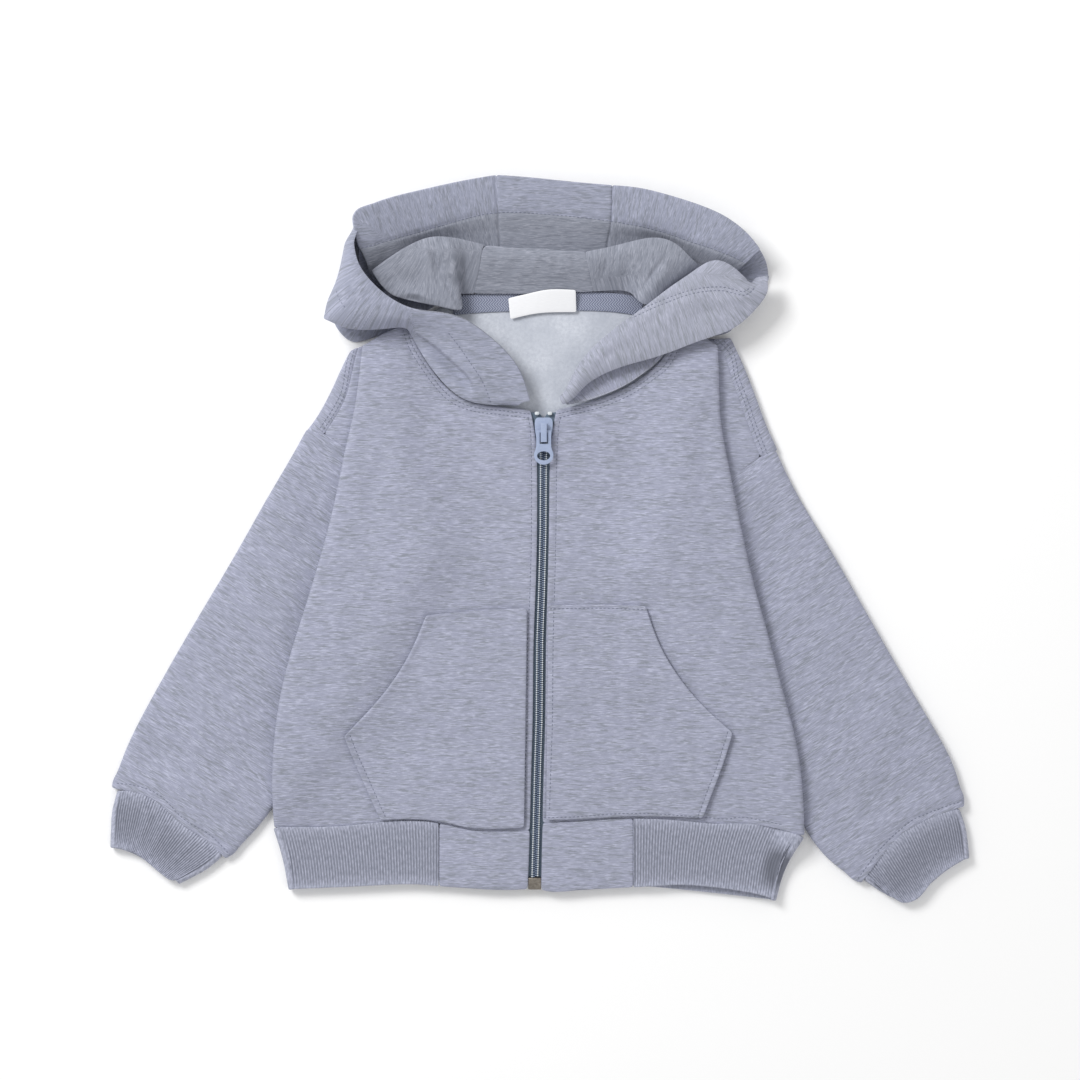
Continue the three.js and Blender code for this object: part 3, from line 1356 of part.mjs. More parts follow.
function pullOutline() {
  const corner = TAB_HALF - BAR_HALF;
  const meetX = RING_RADIUS * Math.cos(RING_MEET);
  const meetY = RING_RADIUS * Math.sin(RING_MEET) - RING_Y;
  const shape = new THREE.Shape();
  shape.moveTo(-corner, BAR_HALF);
  shape.lineTo(corner, BAR_HALF);
  shape.quadraticCurveTo(TAB_HALF, BAR_HALF, TAB_HALF, 0);
  shape.lineTo(TAB_HALF, -NECK_END);
  shape.quadraticCurveTo(TAB_HALF, -FLARE_Y, meetX, meetY);
  shape.absarc(0, -RING_Y, RING_RADIUS, RING_MEET, -Math.PI - RING_MEET, true);
  shape.quadraticCurveTo(-TAB_HALF, -FLARE_Y, -TAB_HALF, -NECK_END);
  shape.lineTo(-TAB_HALF, 0);
  shape.quadraticCurveTo(-TAB_HALF, BAR_HALF, -corner, BAR_HALF);
  const slot = new THREE.Path();
  slot.moveTo(-SLOT_HALF, -BAR_HALF);
  slot.lineTo(-SLOT_HALF, -SLOT_END);
  slot.lineTo(SLOT_HALF, -SLOT_END);
  slot.lineTo(SLOT_HALF, -BAR_HALF);
  slot.closePath();
  const rim = Array.from({ length: EYE_FACETS }, (_, k) => {
    const angle = (2 * Math.PI * k) / EYE_FACETS;
    const across = EYE_HALF_WIDTH * Math.cos(angle);
    return new THREE.Vector2(across, EYE_HALF_LENGTH * Math.sin(angle) - EYE_Y);
  });
  shape.holes.push(slot, new THREE.Path(rim));
  return shape;
}

const pull = plate(pullOutline(), HINGE_Z - PULL_THICKNESS / 2, PULL_THICKNESS);
pull.translate(zipMiddle(HINGE_Y), HINGE_Y, 0);
addMesh("zip_pull", pull, finish(PULL_BLUE, 0.45, 0.1));

// The bottom centre of the whole garment goes to the origin.
const whole = new THREE.Box3().setFromObject(garment);
const middle = whole.getCenter(new THREE.Vector3());
for (const mesh of garment.children) {
  mesh.geometry.translate(-middle.x, -middle.y, -whole.min.z);
}

export default garment;
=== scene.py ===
import math

import bpy
import numpy as np
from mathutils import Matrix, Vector, noise
from mathutils.bvhtree import BVHTree


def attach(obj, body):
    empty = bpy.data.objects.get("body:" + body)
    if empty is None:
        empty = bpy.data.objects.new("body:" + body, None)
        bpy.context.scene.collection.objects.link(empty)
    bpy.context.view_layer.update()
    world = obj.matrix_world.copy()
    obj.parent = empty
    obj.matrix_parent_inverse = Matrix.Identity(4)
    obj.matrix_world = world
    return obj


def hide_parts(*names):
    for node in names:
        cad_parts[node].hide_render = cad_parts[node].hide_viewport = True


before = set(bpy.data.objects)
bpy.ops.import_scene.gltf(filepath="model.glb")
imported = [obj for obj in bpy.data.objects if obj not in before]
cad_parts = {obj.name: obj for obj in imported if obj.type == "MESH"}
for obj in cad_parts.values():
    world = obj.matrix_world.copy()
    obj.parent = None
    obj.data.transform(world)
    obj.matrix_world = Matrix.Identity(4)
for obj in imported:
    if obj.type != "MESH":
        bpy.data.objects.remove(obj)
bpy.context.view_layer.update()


# The studio: the garment lies on a white table below a large soft box at the upper left, with
# white walls all round. The camera looks straight down from far away, so that nothing leans.

MM = 0.001
TABLE_DROP = 0.3
WALL_BRIGHTNESS = 0.62
VIEW_WIDTH = 756
CAMERA_HEIGHT = 2400
HALF_GARMENT_HEIGHT = 6


def srgb(code):
    """Linear colour of an sRGB hex value."""
    parts = [int(code[k:k + 2], 16) / 255 for k in (1, 3, 5)]
    return [p / 12.92 if p <= 0.04045 else ((p + 0.055) / 1.055) ** 2.4 for p in parts] + [1.0]


def new_material(name, roughness, metallic=0.0):
    """A material with its shader's roughness and metal set; returns it, its node tree and the shader."""
    material = bpy.data.materials.new(name)
    material.use_nodes = True
    shader = material.node_tree.nodes["Principled BSDF"]
    shader.inputs["Roughness"].default_value = roughness
    shader.inputs["Metallic"].default_value = metallic
    return material, material.node_tree, shader


def add(tree, kind, inputs=None, **settings):
    """Adds a node with its settings; each input gets a value or another node's output."""
    made = tree.nodes.new(kind)
    for key, value in settings.items():
        setattr(made, key, value)
    for key, value in (inputs or {}).items():
        if isinstance(value, bpy.types.NodeSocket):
            tree.links.new(value, made.inputs[key])
        else:
            made.inputs[key].default_value = value
    return made


# Matt wall paint, rolled on: an even white that shows only the garment's soft shadow.
table_paint, tree, shader = new_material("matt_white_paint", 0.9)
spots = add(tree, "ShaderNodeTexNoise", {"Scale": 6.0, "Detail": 2.0})
tone = add(tree, "ShaderNodeMix", {0: spots.outputs["Fac"], 6: srgb("#fafafa"), 7: srgb("#fefefe")},
           data_type="RGBA")
tree.links.new(tone.outputs[2], shader.inputs["Base Color"])
bpy.ops.object.select_all(action="DESELECT")
bpy.ops.mesh.primitive_plane_add(size=8, location=(0, 0, -TABLE_DROP * MM))
table = bpy.context.object
table.name = "table"
table.data.materials.append(table_paint)

world = bpy.data.worlds.new("studio_walls")
world.use_nodes = True
world.node_tree.nodes["Background"].inputs["Color"].default_value = (1, 1, 1, 1)
world.node_tree.nodes["Background"].inputs["Strength"].default_value = WALL_BRIGHTNESS
bpy.context.scene.world = world
bpy.context.scene.view_settings.view_transform = "Standard"


def soft_box(name, place, size, power):
    """A square lamp that faces the middle of the garment."""
    bpy.ops.object.light_add(type="AREA", location=place)
    lamp = bpy.context.object
    lamp.name = name
    lamp.data.size = size
    lamp.data.energy = power
    lamp.rotation_euler = (-Vector(place)).to_track_quat("-Z", "Y").to_euler()


soft_box("key_soft_box", (-1.3, 1.2, 1.7), 0.9, 40)
soft_box("fill_soft_box", (1.4, -0.9, 1.9), 1.6, 4)

bpy.ops.object.camera_add(location=(0.1 * MM, -0.1 * MM, (CAMERA_HEIGHT + HALF_GARMENT_HEIGHT) * MM),
                          rotation=(0, 0, 0))
camera = bpy.context.object
camera.data.sensor_width = 36
camera.data.lens = 36 * CAMERA_HEIGHT / VIEW_WIDTH
camera.data.clip_end = 100
bpy.context.scene.camera = camera


# Fronts: two panels of sweatshirt cloth, plain knit outside and brushed to a fleece inside, cut
# with a dropped shoulder. Each is turned under and topstitched beside the zip.

def cloth_shell(node, name, levels, ease=0.6, grow=0.4):
    """A copy of a node's wall with its facets joined, its cut edges eased and its curves smoothed.
    Its edges grow a little, so that sewn neighbours meet. Sizes are in millimetres."""
    piece = bpy.data.objects.new(name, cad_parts[node].data.copy())
    bpy.context.scene.collection.objects.link(piece)
    piece.data.materials.clear()
    bpy.ops.object.select_all(action="DESELECT")
    piece.select_set(True)
    bpy.context.view_layer.objects.active = piece
    bpy.ops.object.mode_set(mode="EDIT")
    bpy.ops.mesh.select_all(action="SELECT")
    bpy.ops.mesh.remove_doubles(threshold=0.02 * MM)
    bpy.ops.mesh.customdata_custom_splitnormals_clear()
    bpy.ops.mesh.tris_convert_to_quads(face_threshold=math.radians(35),
                                       shape_threshold=math.radians(120))
    bpy.ops.object.mode_set(mode="OBJECT")
    if ease:
        bevel = piece.modifiers.new("eased_edges", "BEVEL")
        bevel.width = ease * MM
        bevel.segments = 1
        bevel.limit_method = "ANGLE"
        bevel.angle_limit = math.radians(60)
        bpy.ops.object.modifier_apply(modifier=bevel.name)
    if levels:
        smooth = piece.modifiers.new("smoothed", "SUBSURF")
        smooth.levels = levels
        smooth.render_levels = levels
        bpy.ops.object.modifier_apply(modifier=smooth.name)
    bpy.ops.object.shade_smooth()
    points, normals = points_of(piece), normals_of(piece)
    sideways = np.clip(1.6 * np.linalg.norm(normals[:, :2], axis=1) - 0.6, 0, 1)
    points[:, :2] += grow * sideways[:, None] * normals[:, :2]
    move_points(piece, points)
    return piece


def points_of(piece):
    """The piece's points in millimetres."""
    flat = np.zeros(len(piece.data.vertices) * 3)
    piece.data.vertices.foreach_get("co", flat)
    return flat.reshape(-1, 3) / MM


def normals_of(piece):
    """The normals at the piece's points."""
    flat = np.zeros(len(piece.data.vertices) * 3)
    piece.data.vertices.foreach_get("normal", flat)
    return flat.reshape(-1, 3)


def move_points(piece, points):
    """Puts the piece's points where the millimetres say."""
    piece.data.vertices.foreach_set("co", (points * MM).ravel())
    piece.data.update()


def curve_through(points, steps=8):
    """Smooth line through a table's points."""
    p = np.array(points, float)
    p = np.vstack([2 * p[0] - p[1], p, 2 * p[-1] - p[-2]])
    line = []
    for a, b, c, d in zip(p[:-3], p[1:-2], p[2:-1], p[3:]):
        for t in np.arange(steps) / steps:
            line.append(0.5 * (2 * b + (c - a) * t + (2 * a - 5 * b + 4 * c - d) * t ** 2
                               + (3 * b - a - 3 * c + d) * t ** 3))
    line.append(p[-2])
    return np.array(line)


def distance_to(line, points):
    """Each point's distance to a line seen from above, more than nought on the left of its direction,
    how far along the line the nearest place is, and the line's length."""
    a, b = line[:-1, :2], line[1:, :2]
    run = b - a
    length = np.maximum(np.linalg.norm(run, axis=1), 1e-9)
    start = np.concatenate([[0], np.cumsum(length)[:-1]])
    best = np.full(len(points), 1e9)
    place = np.zeros(len(points))
    left = np.ones(len(points))
    for k in range(len(a)):
        off = points[:, :2] - a[k]
        t = np.clip(off @ run[k] / length[k] ** 2, 0, 1)
        away = np.linalg.norm(off - t[:, None] * run[k], axis=1)
        nearer = away < best
        best[nearer] = away[nearer]
        place[nearer] = (start[k] + t * length[k])[nearer]
        left[nearer] = np.sign(run[k][0] * off[:, 1] - run[k][1] * off[:, 0])[nearer]
    return best * left, place, length.sum()


def smooth_share(t):
    """From 0 to 1 with a soft start and end."""
    t = np.clip(t, 0, 1)
    return t * t * (3 - 2 * t)


def creases(points, table):
    """Rise that the listed creases give: each row is x, y, x, y, x, y, half width, height."""
    rise = np.zeros(len(points))
    for x0, y0, x1, y1, x2, y2, half, height in table:
        line = curve_through([(x0, y0), (x1, y1), (x2, y2)], 6)
        away, place, total = distance_to(line, points)
        taper = np.sin(np.pi * np.clip(place / total, 0.02, 0.98)) ** 0.7
        rise += height * np.exp(-(away / half) ** 2) * taper
    return rise


def grooves(points, lines, half, depth):
    """Sink of a row of stitches that pulls the cloth in, the same all along."""
    rise = np.zeros(len(points))
    for line in lines:
        rise -= depth * np.exp(-(distance_to(line, points)[0] / half) ** 2)
    return rise


def unevenness(points, spread, height, seed):
    """Slow rise and fall of cloth that isn't pressed quite flat."""
    shift = Vector((seed * 3.1, seed * 1.7, seed))
    values = [noise.noise(Vector((p[0] / spread, p[1] / spread, 0)) + shift) for p in points]
    return height * np.array(values)


def set_grain(piece, along, across):
    """Stores each point's place in the knit, in metres: along the rows of loops and across them."""
    grain = piece.data.attributes.new("grain", "FLOAT_VECTOR", "POINT")
    values = np.stack([along * MM, across * MM, np.zeros(len(along))], axis=1)
    grain.data.foreach_set("vector", values.astype(np.float32).ravel())


def sweatshirt_knit(name, dark, middle, light, relief_share=0.5):
    """Heather cotton jersey: dyed and undyed fibres are carded together, so the rows of loops show
    short level streaks, lighter and darker, on a matt and faintly woolly face."""
    material, tree, shader = new_material(name, 0.92)
    grain = add(tree, "ShaderNodeAttribute", attribute_name="grain")

    # A row of loops is about 0.6 mm high; the broad streaks are two rows, so that they show.
    def streaks(long_mm, high_mm, seed):
        scaled = add(tree, "ShaderNodeVectorMath", {
            0: grain.outputs["Vector"], 1: (1 / (long_mm * MM), 1 / (high_mm * MM), 1)},
            operation="MULTIPLY")
        moved = add(tree, "ShaderNodeVectorMath", {0: scaled.outputs[0], 1: (0, 0, seed)})
        return add(tree, "ShaderNodeTexNoise", {
            "Vector": moved.outputs[0], "Scale": 1.0, "Detail": 3.0, "Roughness": 0.6}).outputs["Fac"]

    fine = streaks(5.5, 0.6, 1.3)
    broad = streaks(11, 1.25, 7.7)
    cloud = streaks(42, 15, 4.1)
    dark_share = add(tree, "ShaderNodeMapRange", {"Value": broad, "From Min": 0.37, "From Max": 0.53})
    light_share = add(tree, "ShaderNodeMapRange", {"Value": fine, "From Min": 0.48, "From Max": 0.68})
    cloud_share = add(tree, "ShaderNodeMapRange", {
        "Value": cloud, "From Min": 0.3, "From Max": 0.7, "To Min": 0.0, "To Max": 0.22})
    low = add(tree, "ShaderNodeMix", {0: dark_share.outputs[0], 6: srgb(dark), 7: srgb(middle)},
              data_type="RGBA")
    high = add(tree, "ShaderNodeMix", {0: light_share.outputs[0], 6: low.outputs[2], 7: srgb(light)},
               data_type="RGBA")
    shaded = add(tree, "ShaderNodeMix", {0: cloud_share.outputs[0], 6: high.outputs[2], 7: srgb(dark)},
                 data_type="RGBA")
    tree.links.new(shaded.outputs[2], shader.inputs["Base Color"])
    loops = add(tree, "ShaderNodeVectorMath", {
        0: grain.outputs["Vector"], 1: (1 / (1.1 * MM), 1 / (0.7 * MM), 1)}, operation="MULTIPLY")
    fuzz = add(tree, "ShaderNodeTexNoise", {
        "Vector": loops.outputs[0], "Scale": 1.0, "Detail": 2.0, "Roughness": 0.5})
    relief = add(tree, "ShaderNodeMath", {0: fine, 1: fuzz.outputs["Fac"]}, operation="ADD")
    bump = add(tree, "ShaderNodeBump", {
        "Height": relief.outputs[0], "Strength": relief_share, "Distance": 0.35 * MM})
    tree.links.new(bump.outputs["Normal"], shader.inputs["Normal"])
    shader.inputs["Sheen Weight"].default_value = 0.12
    shader.inputs["Sheen Roughness"].default_value = 0.5
    return material


def brushed_fleece(name, low, high):
    """The cloth's inside: loops torn up by wire brushes into a soft white nap with no direction."""
    material, tree, shader = new_material(name, 1.0)
    place = add(tree, "ShaderNodeTexCoord")
    nap = add(tree, "ShaderNodeTexNoise", {
        "Vector": place.outputs["Object"], "Scale": 420.0, "Detail": 4.0, "Roughness": 0.7})
    drift = add(tree, "ShaderNodeTexNoise", {
        "Vector": place.outputs["Object"], "Scale": 38.0, "Detail": 2.0})
    share = add(tree, "ShaderNodeMath", {0: nap.outputs["Fac"], 1: drift.outputs["Fac"]},
                operation="MULTIPLY")
    spread = add(tree, "ShaderNodeMapRange", {"Value": share.outputs[0], "From Min": 0.1, "From Max": 0.4})
    tone = add(tree, "ShaderNodeMix", {0: spread.outputs[0], 6: srgb(low), 7: srgb(high)},
               data_type="RGBA")
    tree.links.new(tone.outputs[2], shader.inputs["Base Color"])
    bump = add(tree, "ShaderNodeBump", {
        "Height": nap.outputs["Fac"], "Strength": 0.5, "Distance": 0.4 * MM})
    tree.links.new(bump.outputs["Normal"], shader.inputs["Normal"])
    shader.inputs["Sheen Weight"].default_value = 0.2
    shader.inputs["Sheen Roughness"].default_value = 0.4
    return material


# The outside of all the body cloth: matt, level light and dark streaks over a soft blue-grey.
body_knit = sweatshirt_knit("heather_jersey_outside", "#888c98", "#9b9eb2", "#babdd2")
fleece = brushed_fleece("brushed_cotton_fleece", "#b4b9c4", "#d0d4dd")


def of_faces(piece, what):
    """The faces' normals, or their centres in metres."""
    flat = np.zeros(len(piece.data.polygons) * 3)
    piece.data.polygons.foreach_get(what, flat)
    return flat.reshape(-1, 3)


def cloth_finish(piece, outside, inside=None, inner_faces=None):
    """Gives the outside cloth to a piece, and the inside cloth to the faces marked in inner_faces."""
    piece.data.materials.append(outside)
    if inside is None:
        return
    piece.data.materials.append(inside)
    piece.data.polygons.foreach_set("material_index", inner_faces.astype(np.int32))


def cloth_piece(piece, node):
    """Rides the piece on the garment, in place of its node."""
    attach(piece, "garment")
    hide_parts(node)


def top_share(points, low, high):
    """From 0 on the underlying cloth to 1 on the upper cloth."""
    return smooth_share((points[:, 2] - low) / (high - low))


# The seams and edges of the fronts, as x, y along each
ZIP_LINE_LEFT = curve_through([(-7.5, -244), (-7, -207), (-6, -157), (-5, -126.5), (-4.5, -70.5),
                               (-3, -35.5), (-2, 6.5), (-2, 51.5), (-3, 79.5), (-6.5, 91)])
ZIP_LINE_RIGHT = curve_through([(1.5, -246), (2, -207), (3.5, -157), (4.5, -126.5), (5, -70.5),
                                (6, -35.5), (7, 6.5), (7.5, 51.5), (9, 79.5), (12, 91)])
HEM_LINE_LEFT = curve_through([(-7, -203), (-27.5, -204), (-48, -203.5), (-69.5, -198), (-97.5, -196.5),
                               (-141, -200.5), (-186, -201)])
HEM_LINE_RIGHT = curve_through([(2.5, -198), (28.5, -197), (57, -195), (86.5, -195.5), (129, -199),
                                (144, -198), (185, -206)])
NECK_LINE_LEFT = curve_through([(-6.5, 90.5), (-28.5, 93), (-42.5, 94.5), (-56.5, 99), (-67, 107.5),
                                (-77.5, 121.5), (-86.5, 136), (-91.5, 150.5)])
NECK_LINE_RIGHT = curve_through([(12, 90.5), (28.5, 94.5), (42, 98), (55.5, 103.5), (66, 109),
                                 (76.5, 116.5), (87.5, 126.5), (98.5, 151.5)])


def beside(line, distance):
    """A line beside another: to the left of its direction if the distance is positive."""
    run = np.gradient(line[:, :2], axis=0)
    square = np.stack([-run[:, 1], run[:, 0]], axis=1)
    square /= np.linalg.norm(square, axis=1)[:, None]
    return line[:, :2] + distance * square


# x, y three times along each crease | half width | height
FRONT_CREASES = {
    "left": [
        (-128, 96, -112, 60, -118, 10, 9, -1.4),
        (-100, 122, -84, 92, -86, 48, 11, -1.2),
        (-60, 92, -66, 66, -58, 40, 9, 0.9),
        (-150, -20, -128, -48, -122, -96, 12, -1.1),
        (-70, 20, -40, 8, -8, 14, 10, -0.7),
        (-34, -10, -62, -22, -104, -14, 12, 0.8),
        (-172, -120, -150, -150, -154, -186, 10, -1.0),
    ],
    "right": [
        (124, 104, 112, 62, 118, 16, 10, -1.4),
        (96, 120, 90, 84, 96, 50, 11, -1.0),
        (40, 84, 52, 56, 44, 26, 9, 0.8),
        (142, -24, 122, -58, 118, -98, 12, -1.1),
        (12, 30, 46, 20, 84, 32, 10, -0.7),
        (22, -12, 60, -24, 110, -12, 12, 0.8),
        (168, -120, 152, -150, 156, -190, 10, -0.9),
    ],
}
front_stitches = {
    "left": [beside(ZIP_LINE_LEFT[2:-3], 3.9), beside(HEM_LINE_LEFT[:-3], 3.8),
             beside(NECK_LINE_LEFT, 2.4), beside(NECK_LINE_LEFT, 5.2)],
    "right": [beside(ZIP_LINE_RIGHT[2:-3], -4.2), beside(HEM_LINE_RIGHT[:-3], 3.8),
              beside(NECK_LINE_RIGHT, -2.4), beside(NECK_LINE_RIGHT, -5.2)],
}
# The row beside the zip stops at the hem
for side, hem_y in (("left", -198), ("right", -193)):
    zip_row = front_stitches[side][0]
    front_stitches[side][0] = zip_row[zip_row[:, 1] > hem_y]
shaped = {}


def shape_front(side, seed):
    """One front: its crowned face, creases beside the arm, and the pull of its stitches."""
    piece = cloth_shell(f"front_{side}", f"front_{side}_cloth", 3)
    points = points_of(piece)
    upper = top_share(points, 4.0, 6.0)
    rise = creases(points, FRONT_CREASES[side]) + unevenness(points, 42, 0.9, seed)
    rise += unevenness(points, 15, 0.35, seed + 5)
    rise += grooves(points, front_stitches[side], 1.2, 0.45)
    set_grain(piece, points[:, 0], points[:, 1])
    points[:, 2] += upper * rise
    move_points(piece, points)
    cloth_finish(piece, body_knit, fleece, of_faces(piece, "normal")[:, 2] < -0.3)
    cloth_piece(piece, f"front_{side}")
    shaped[f"front_{side}"] = piece


shape_front("left", 1)
shape_front("right", 2)

# Back: one panel of the same cloth, fleece side up under the fronts. Only the part between the
# neck tape and the zip shows, with the shadow of the hood on it.
back_cloth = cloth_shell("back", "back_cloth", 2)
points = points_of(back_cloth)
set_grain(back_cloth, points[:, 0], points[:, 1])
cloth_finish(back_cloth, body_knit, fleece, of_faces(back_cloth, "normal")[:, 2] > 0.3)
cloth_piece(back_cloth, "back")
shaped["back"] = back_cloth

# Patch pockets: the same cloth, turned under and sewn on from the zip to the hem, open at the
# slanted curve for the hand.
# Their edges, as x, y along each
POCKET_OPENING_LEFT = curve_through([(-79, -53), (-85, -70), (-97.5, -93), (-112, -112.5), (-136, -137)])
POCKET_OPENING_RIGHT = curve_through([(74, -46.5), (81, -70), (90, -86.5), (108, -111), (134.5, -134.5)])
POCKET_TOP_LEFT = curve_through([(-9, -48), (-41.5, -49.5), (-79, -53)])
POCKET_TOP_RIGHT = curve_through([(6.5, -46), (42.5, -45.5), (74, -46.5)])
POCKET_SIDE_LEFT = curve_through([(-136, -137), (-131.5, -149), (-121.5, -172), (-111, -195.5)])
POCKET_SIDE_RIGHT = curve_through([(134.5, -134.5), (127.5, -158), (120.5, -176), (114, -194)])
# x, y three times along each crease | half width | height
POCKET_CREASES = {
    "left": [
        (-16, -90, -50, -84, -84, -92, 11, 0.8),
        (-30, -130, -62, -140, -104, -130, 12, -0.8),
        (-40, -176, -70, -166, -112, -172, 9, 0.6),
    ],
    "right": [
        (14, -84, 46, -92, 80, -84, 11, 0.8),
        (18, -128, 56, -136, 104, -126, 12, -0.8),
        (24, -170, 66, -162, 108, -170, 9, 0.6),
    ],
}
pocket_stitches = {
    "left": [beside(POCKET_TOP_LEFT, -2.2), beside(POCKET_SIDE_LEFT, 3.6)],
    "right": [beside(POCKET_TOP_RIGHT, -2.2), beside(POCKET_SIDE_RIGHT, -3.6)],
}
pocket_rims = {
    "left": [POCKET_TOP_LEFT, POCKET_OPENING_LEFT, POCKET_SIDE_LEFT],
    "right": [POCKET_TOP_RIGHT, POCKET_OPENING_RIGHT, POCKET_SIDE_RIGHT],
}
for side, seed, front_seed in (("left", 3, 1), ("right", 4, 2)):
    pocket = cloth_shell(f"pocket_{side}", f"pocket_{side}_cloth", 3)
    points = points_of(pocket)
    set_grain(pocket, points[:, 0], points[:, 1] + 40)
    rise = creases(points, POCKET_CREASES[side]) + unevenness(points, 40, 0.8, seed) + 0.3
    rise += grooves(points, pocket_stitches[side], 1.2, 0.4)
    for rim in pocket_rims[side]:
        rise += 0.6 * np.exp(-(distance_to(rim, points)[0] / 2.2) ** 2)
    rise += unevenness(points, 42, 0.9, front_seed) * 0.6
    points[:, 2] += rise + creases(points, FRONT_CREASES[side])
    move_points(pocket, points)
    cloth_finish(pocket, body_knit, fleece, of_faces(pocket, "normal")[:, 2] < -0.3)
    cloth_piece(pocket, f"pocket_{side}")
    shaped[f"pocket_{side}"] = pocket

# Hem: a band of rib knit, its ribs 2.2 mm apart, folded double and sewn to the body's lower edge
# all round, with plain tabs of the body cloth beside the zip.

def neighbour_mean(piece, values, rounds):
    """Values smoothed along the mesh's edges."""
    edges = np.zeros(len(piece.data.edges) * 2, int)
    piece.data.edges.foreach_get("vertices", edges)
    a, b = edges.reshape(-1, 2).T
    count = np.bincount(a, minlength=len(values)) + np.bincount(b, minlength=len(values))
    for _ in range(rounds):
        total = np.bincount(a, values[b], len(values)) + np.bincount(b, values[a], len(values))
        values = 0.5 * values + 0.5 * total / count
    return values


def rib_knit(name, dark, light, groove_shade_colour):
    """Rib knit: columns of face loops stand up between columns of back loops, and the fibres run
    along them. The shade in the grooves, where little light reaches, is painted in: the colour
    darkens towards a shade colour where a point attribute marks them."""
    material, tree, shader = new_material(name, 0.92)
    grain = add(tree, "ShaderNodeAttribute", attribute_name="grain")
    scaled = add(tree, "ShaderNodeVectorMath", {
        0: grain.outputs["Vector"], 1: (1 / (1.2 * MM), 1 / (3.5 * MM), 1)}, operation="MULTIPLY")
    fibres = add(tree, "ShaderNodeTexNoise", {
        "Vector": scaled.outputs[0], "Scale": 1.0, "Detail": 3.0, "Roughness": 0.6})
    share = add(tree, "ShaderNodeMapRange", {
        "Value": fibres.outputs["Fac"], "From Min": 0.35, "From Max": 0.65})
    tone = add(tree, "ShaderNodeMix", {0: share.outputs[0], 6: srgb(dark), 7: srgb(light)},
               data_type="RGBA")
    # Painted shade: the colour darkens in the grooves by the attribute that marks them.
    painted_groove_shade = add(tree, "ShaderNodeAttribute", attribute_name="painted_groove_shade")
    shaded = add(tree, "ShaderNodeMix", {0: painted_groove_shade.outputs["Fac"], 6: tone.outputs[2], 7: srgb(groove_shade_colour)},
                 data_type="RGBA")
    tree.links.new(shaded.outputs[2], shader.inputs["Base Color"])
    bump = add(tree, "ShaderNodeBump", {
        "Height": fibres.outputs["Fac"], "Strength": 0.5, "Distance": 0.3 * MM})
    tree.links.new(bump.outputs["Normal"], shader.inputs["Normal"])
    shader.inputs["Sheen Weight"].default_value = 0.12
    return material


ribbing = rib_knit("heather_rib_knit", "#8f93a3", "#b4b7c9", "#6e717e")


def turned_grain(piece, points, turn):
    """Knit whose rows are turned, as the sleeves' are."""
    cosine, sine = math.cos(turn), math.sin(turn)
    set_grain(piece, points[:, 0] * cosine + points[:, 1] * sine,
              points[:, 1] * cosine - points[:, 0] * sine)


def ribbed_piece(node, turn, seam=None):
    """A rib piece whose grooves are brought back to full depth after smoothing, with their shade painted
    in. A cuff is drawn in at the ends of its seam and reaches a little under the sleeve."""
    piece = cloth_shell(node, f"{node}_knit", 2, 0.5)
    points = points_of(piece)
    if seam is not None:
        away, place, total = distance_to(seam, points)
        along = (seam[-1] - seam[0]) / np.linalg.norm(seam[-1] - seam[0])
        share = 2 * place / total - 1
        pull = -3.2 * np.sign(share) * np.abs(share) ** 4 * (1 - smooth_share(np.abs(away) / 20))
        points[:, :2] += pull[:, None] * along
        square = np.array([-along[1], along[0]]) * np.sign(along[0])
        points[:, :2] += np.outer(1.2 * (1 - smooth_share(np.abs(away) / 5)), square)
    normals = normals_of(piece)
    flat = neighbour_mean(piece, points[:, 2], 30)
    facing = np.clip(normals[:, 2] * 2 - 0.6, 0, 1)
    relief = points[:, 2] - flat
    relief = facing * np.clip(relief - neighbour_mean(piece, relief, 30), -0.3, 0.3)
    points[:, 2] += 3 * relief
    # Painted shade: darker the deeper a point lies in a groove, a little on the flat and none on the
    # ridges' tops.
    painted_groove_shade = piece.data.attributes.new("painted_groove_shade", "FLOAT", "POINT")
    painted_groove_shade.data.foreach_set("value", np.clip(0.16 - 6 * relief, 0, 1).astype(np.float32))
    turned_grain(piece, points, turn)
    move_points(piece, points)
    cloth_finish(piece, ribbing)
    cloth_piece(piece, node)
    return piece


shaped["hem_rib"] = ribbed_piece("hem_rib", 0)
for side in ("left", "right"):
    tab = cloth_shell(f"hem_tab_{side}", f"hem_tab_{side}_cloth", 2)
    points = points_of(tab)
    set_grain(tab, points[:, 0], points[:, 1] + 80)
    points[:, 2] += unevenness(points, 26, 0.5, 8)
    move_points(tab, points)
    cloth_finish(tab, body_knit)
    cloth_piece(tab, f"hem_tab_{side}")
    shaped[f"hem_tab_{side}"] = tab

# Sleeves: each is one panel closed to a flat tube under the arm, with a ribbed cuff folded double
# and overlocked to its lower end.
SLEEVE_TURN = {"left": math.radians(-32), "right": math.radians(32)}
# x, y three times along each crease | half width | height
SLEEVE_CREASES = {
    "left": [
        (-176, 50, -160, 20, -166, -18, 9, -1.3),
        (-200, 0, -176, -30, -180, -70, 12, 1.0),
        (-232, -60, -214, -84, -206, -120, 12, -1.2),
        (-258, -104, -236, -122, -226, -156, 11, 1.0),
        (-282, -150, -258, -152, -236, -176, 9, -1.2),
        (-268, -168, -246, -172, -214, -196, 7, 0.8),
        (-150, 40, -140, 0, -152, -40, 10, -1.2),
        (-146, 62, -160, -24, -190, -150, 20, -3.0),
    ],
    "right": [
        (176, 36, 162, 4, 168, -34, 9, -1.3),
        (200, -8, 178, -44, 184, -84, 12, 1.0),
        (232, -66, 214, -96, 208, -130, 12, -1.2),
        (260, -112, 238, -134, 228, -168, 11, 1.0),
        (284, -158, 262, -170, 238, -196, 9, -1.2),
        (272, -182, 250, -192, 222, -218, 7, 0.8),
        (150, 26, 142, -14, 156, -56, 10, -1.2),
        (146, 50, 158, -40, 188, -160, 11, -1.6),
    ],
}
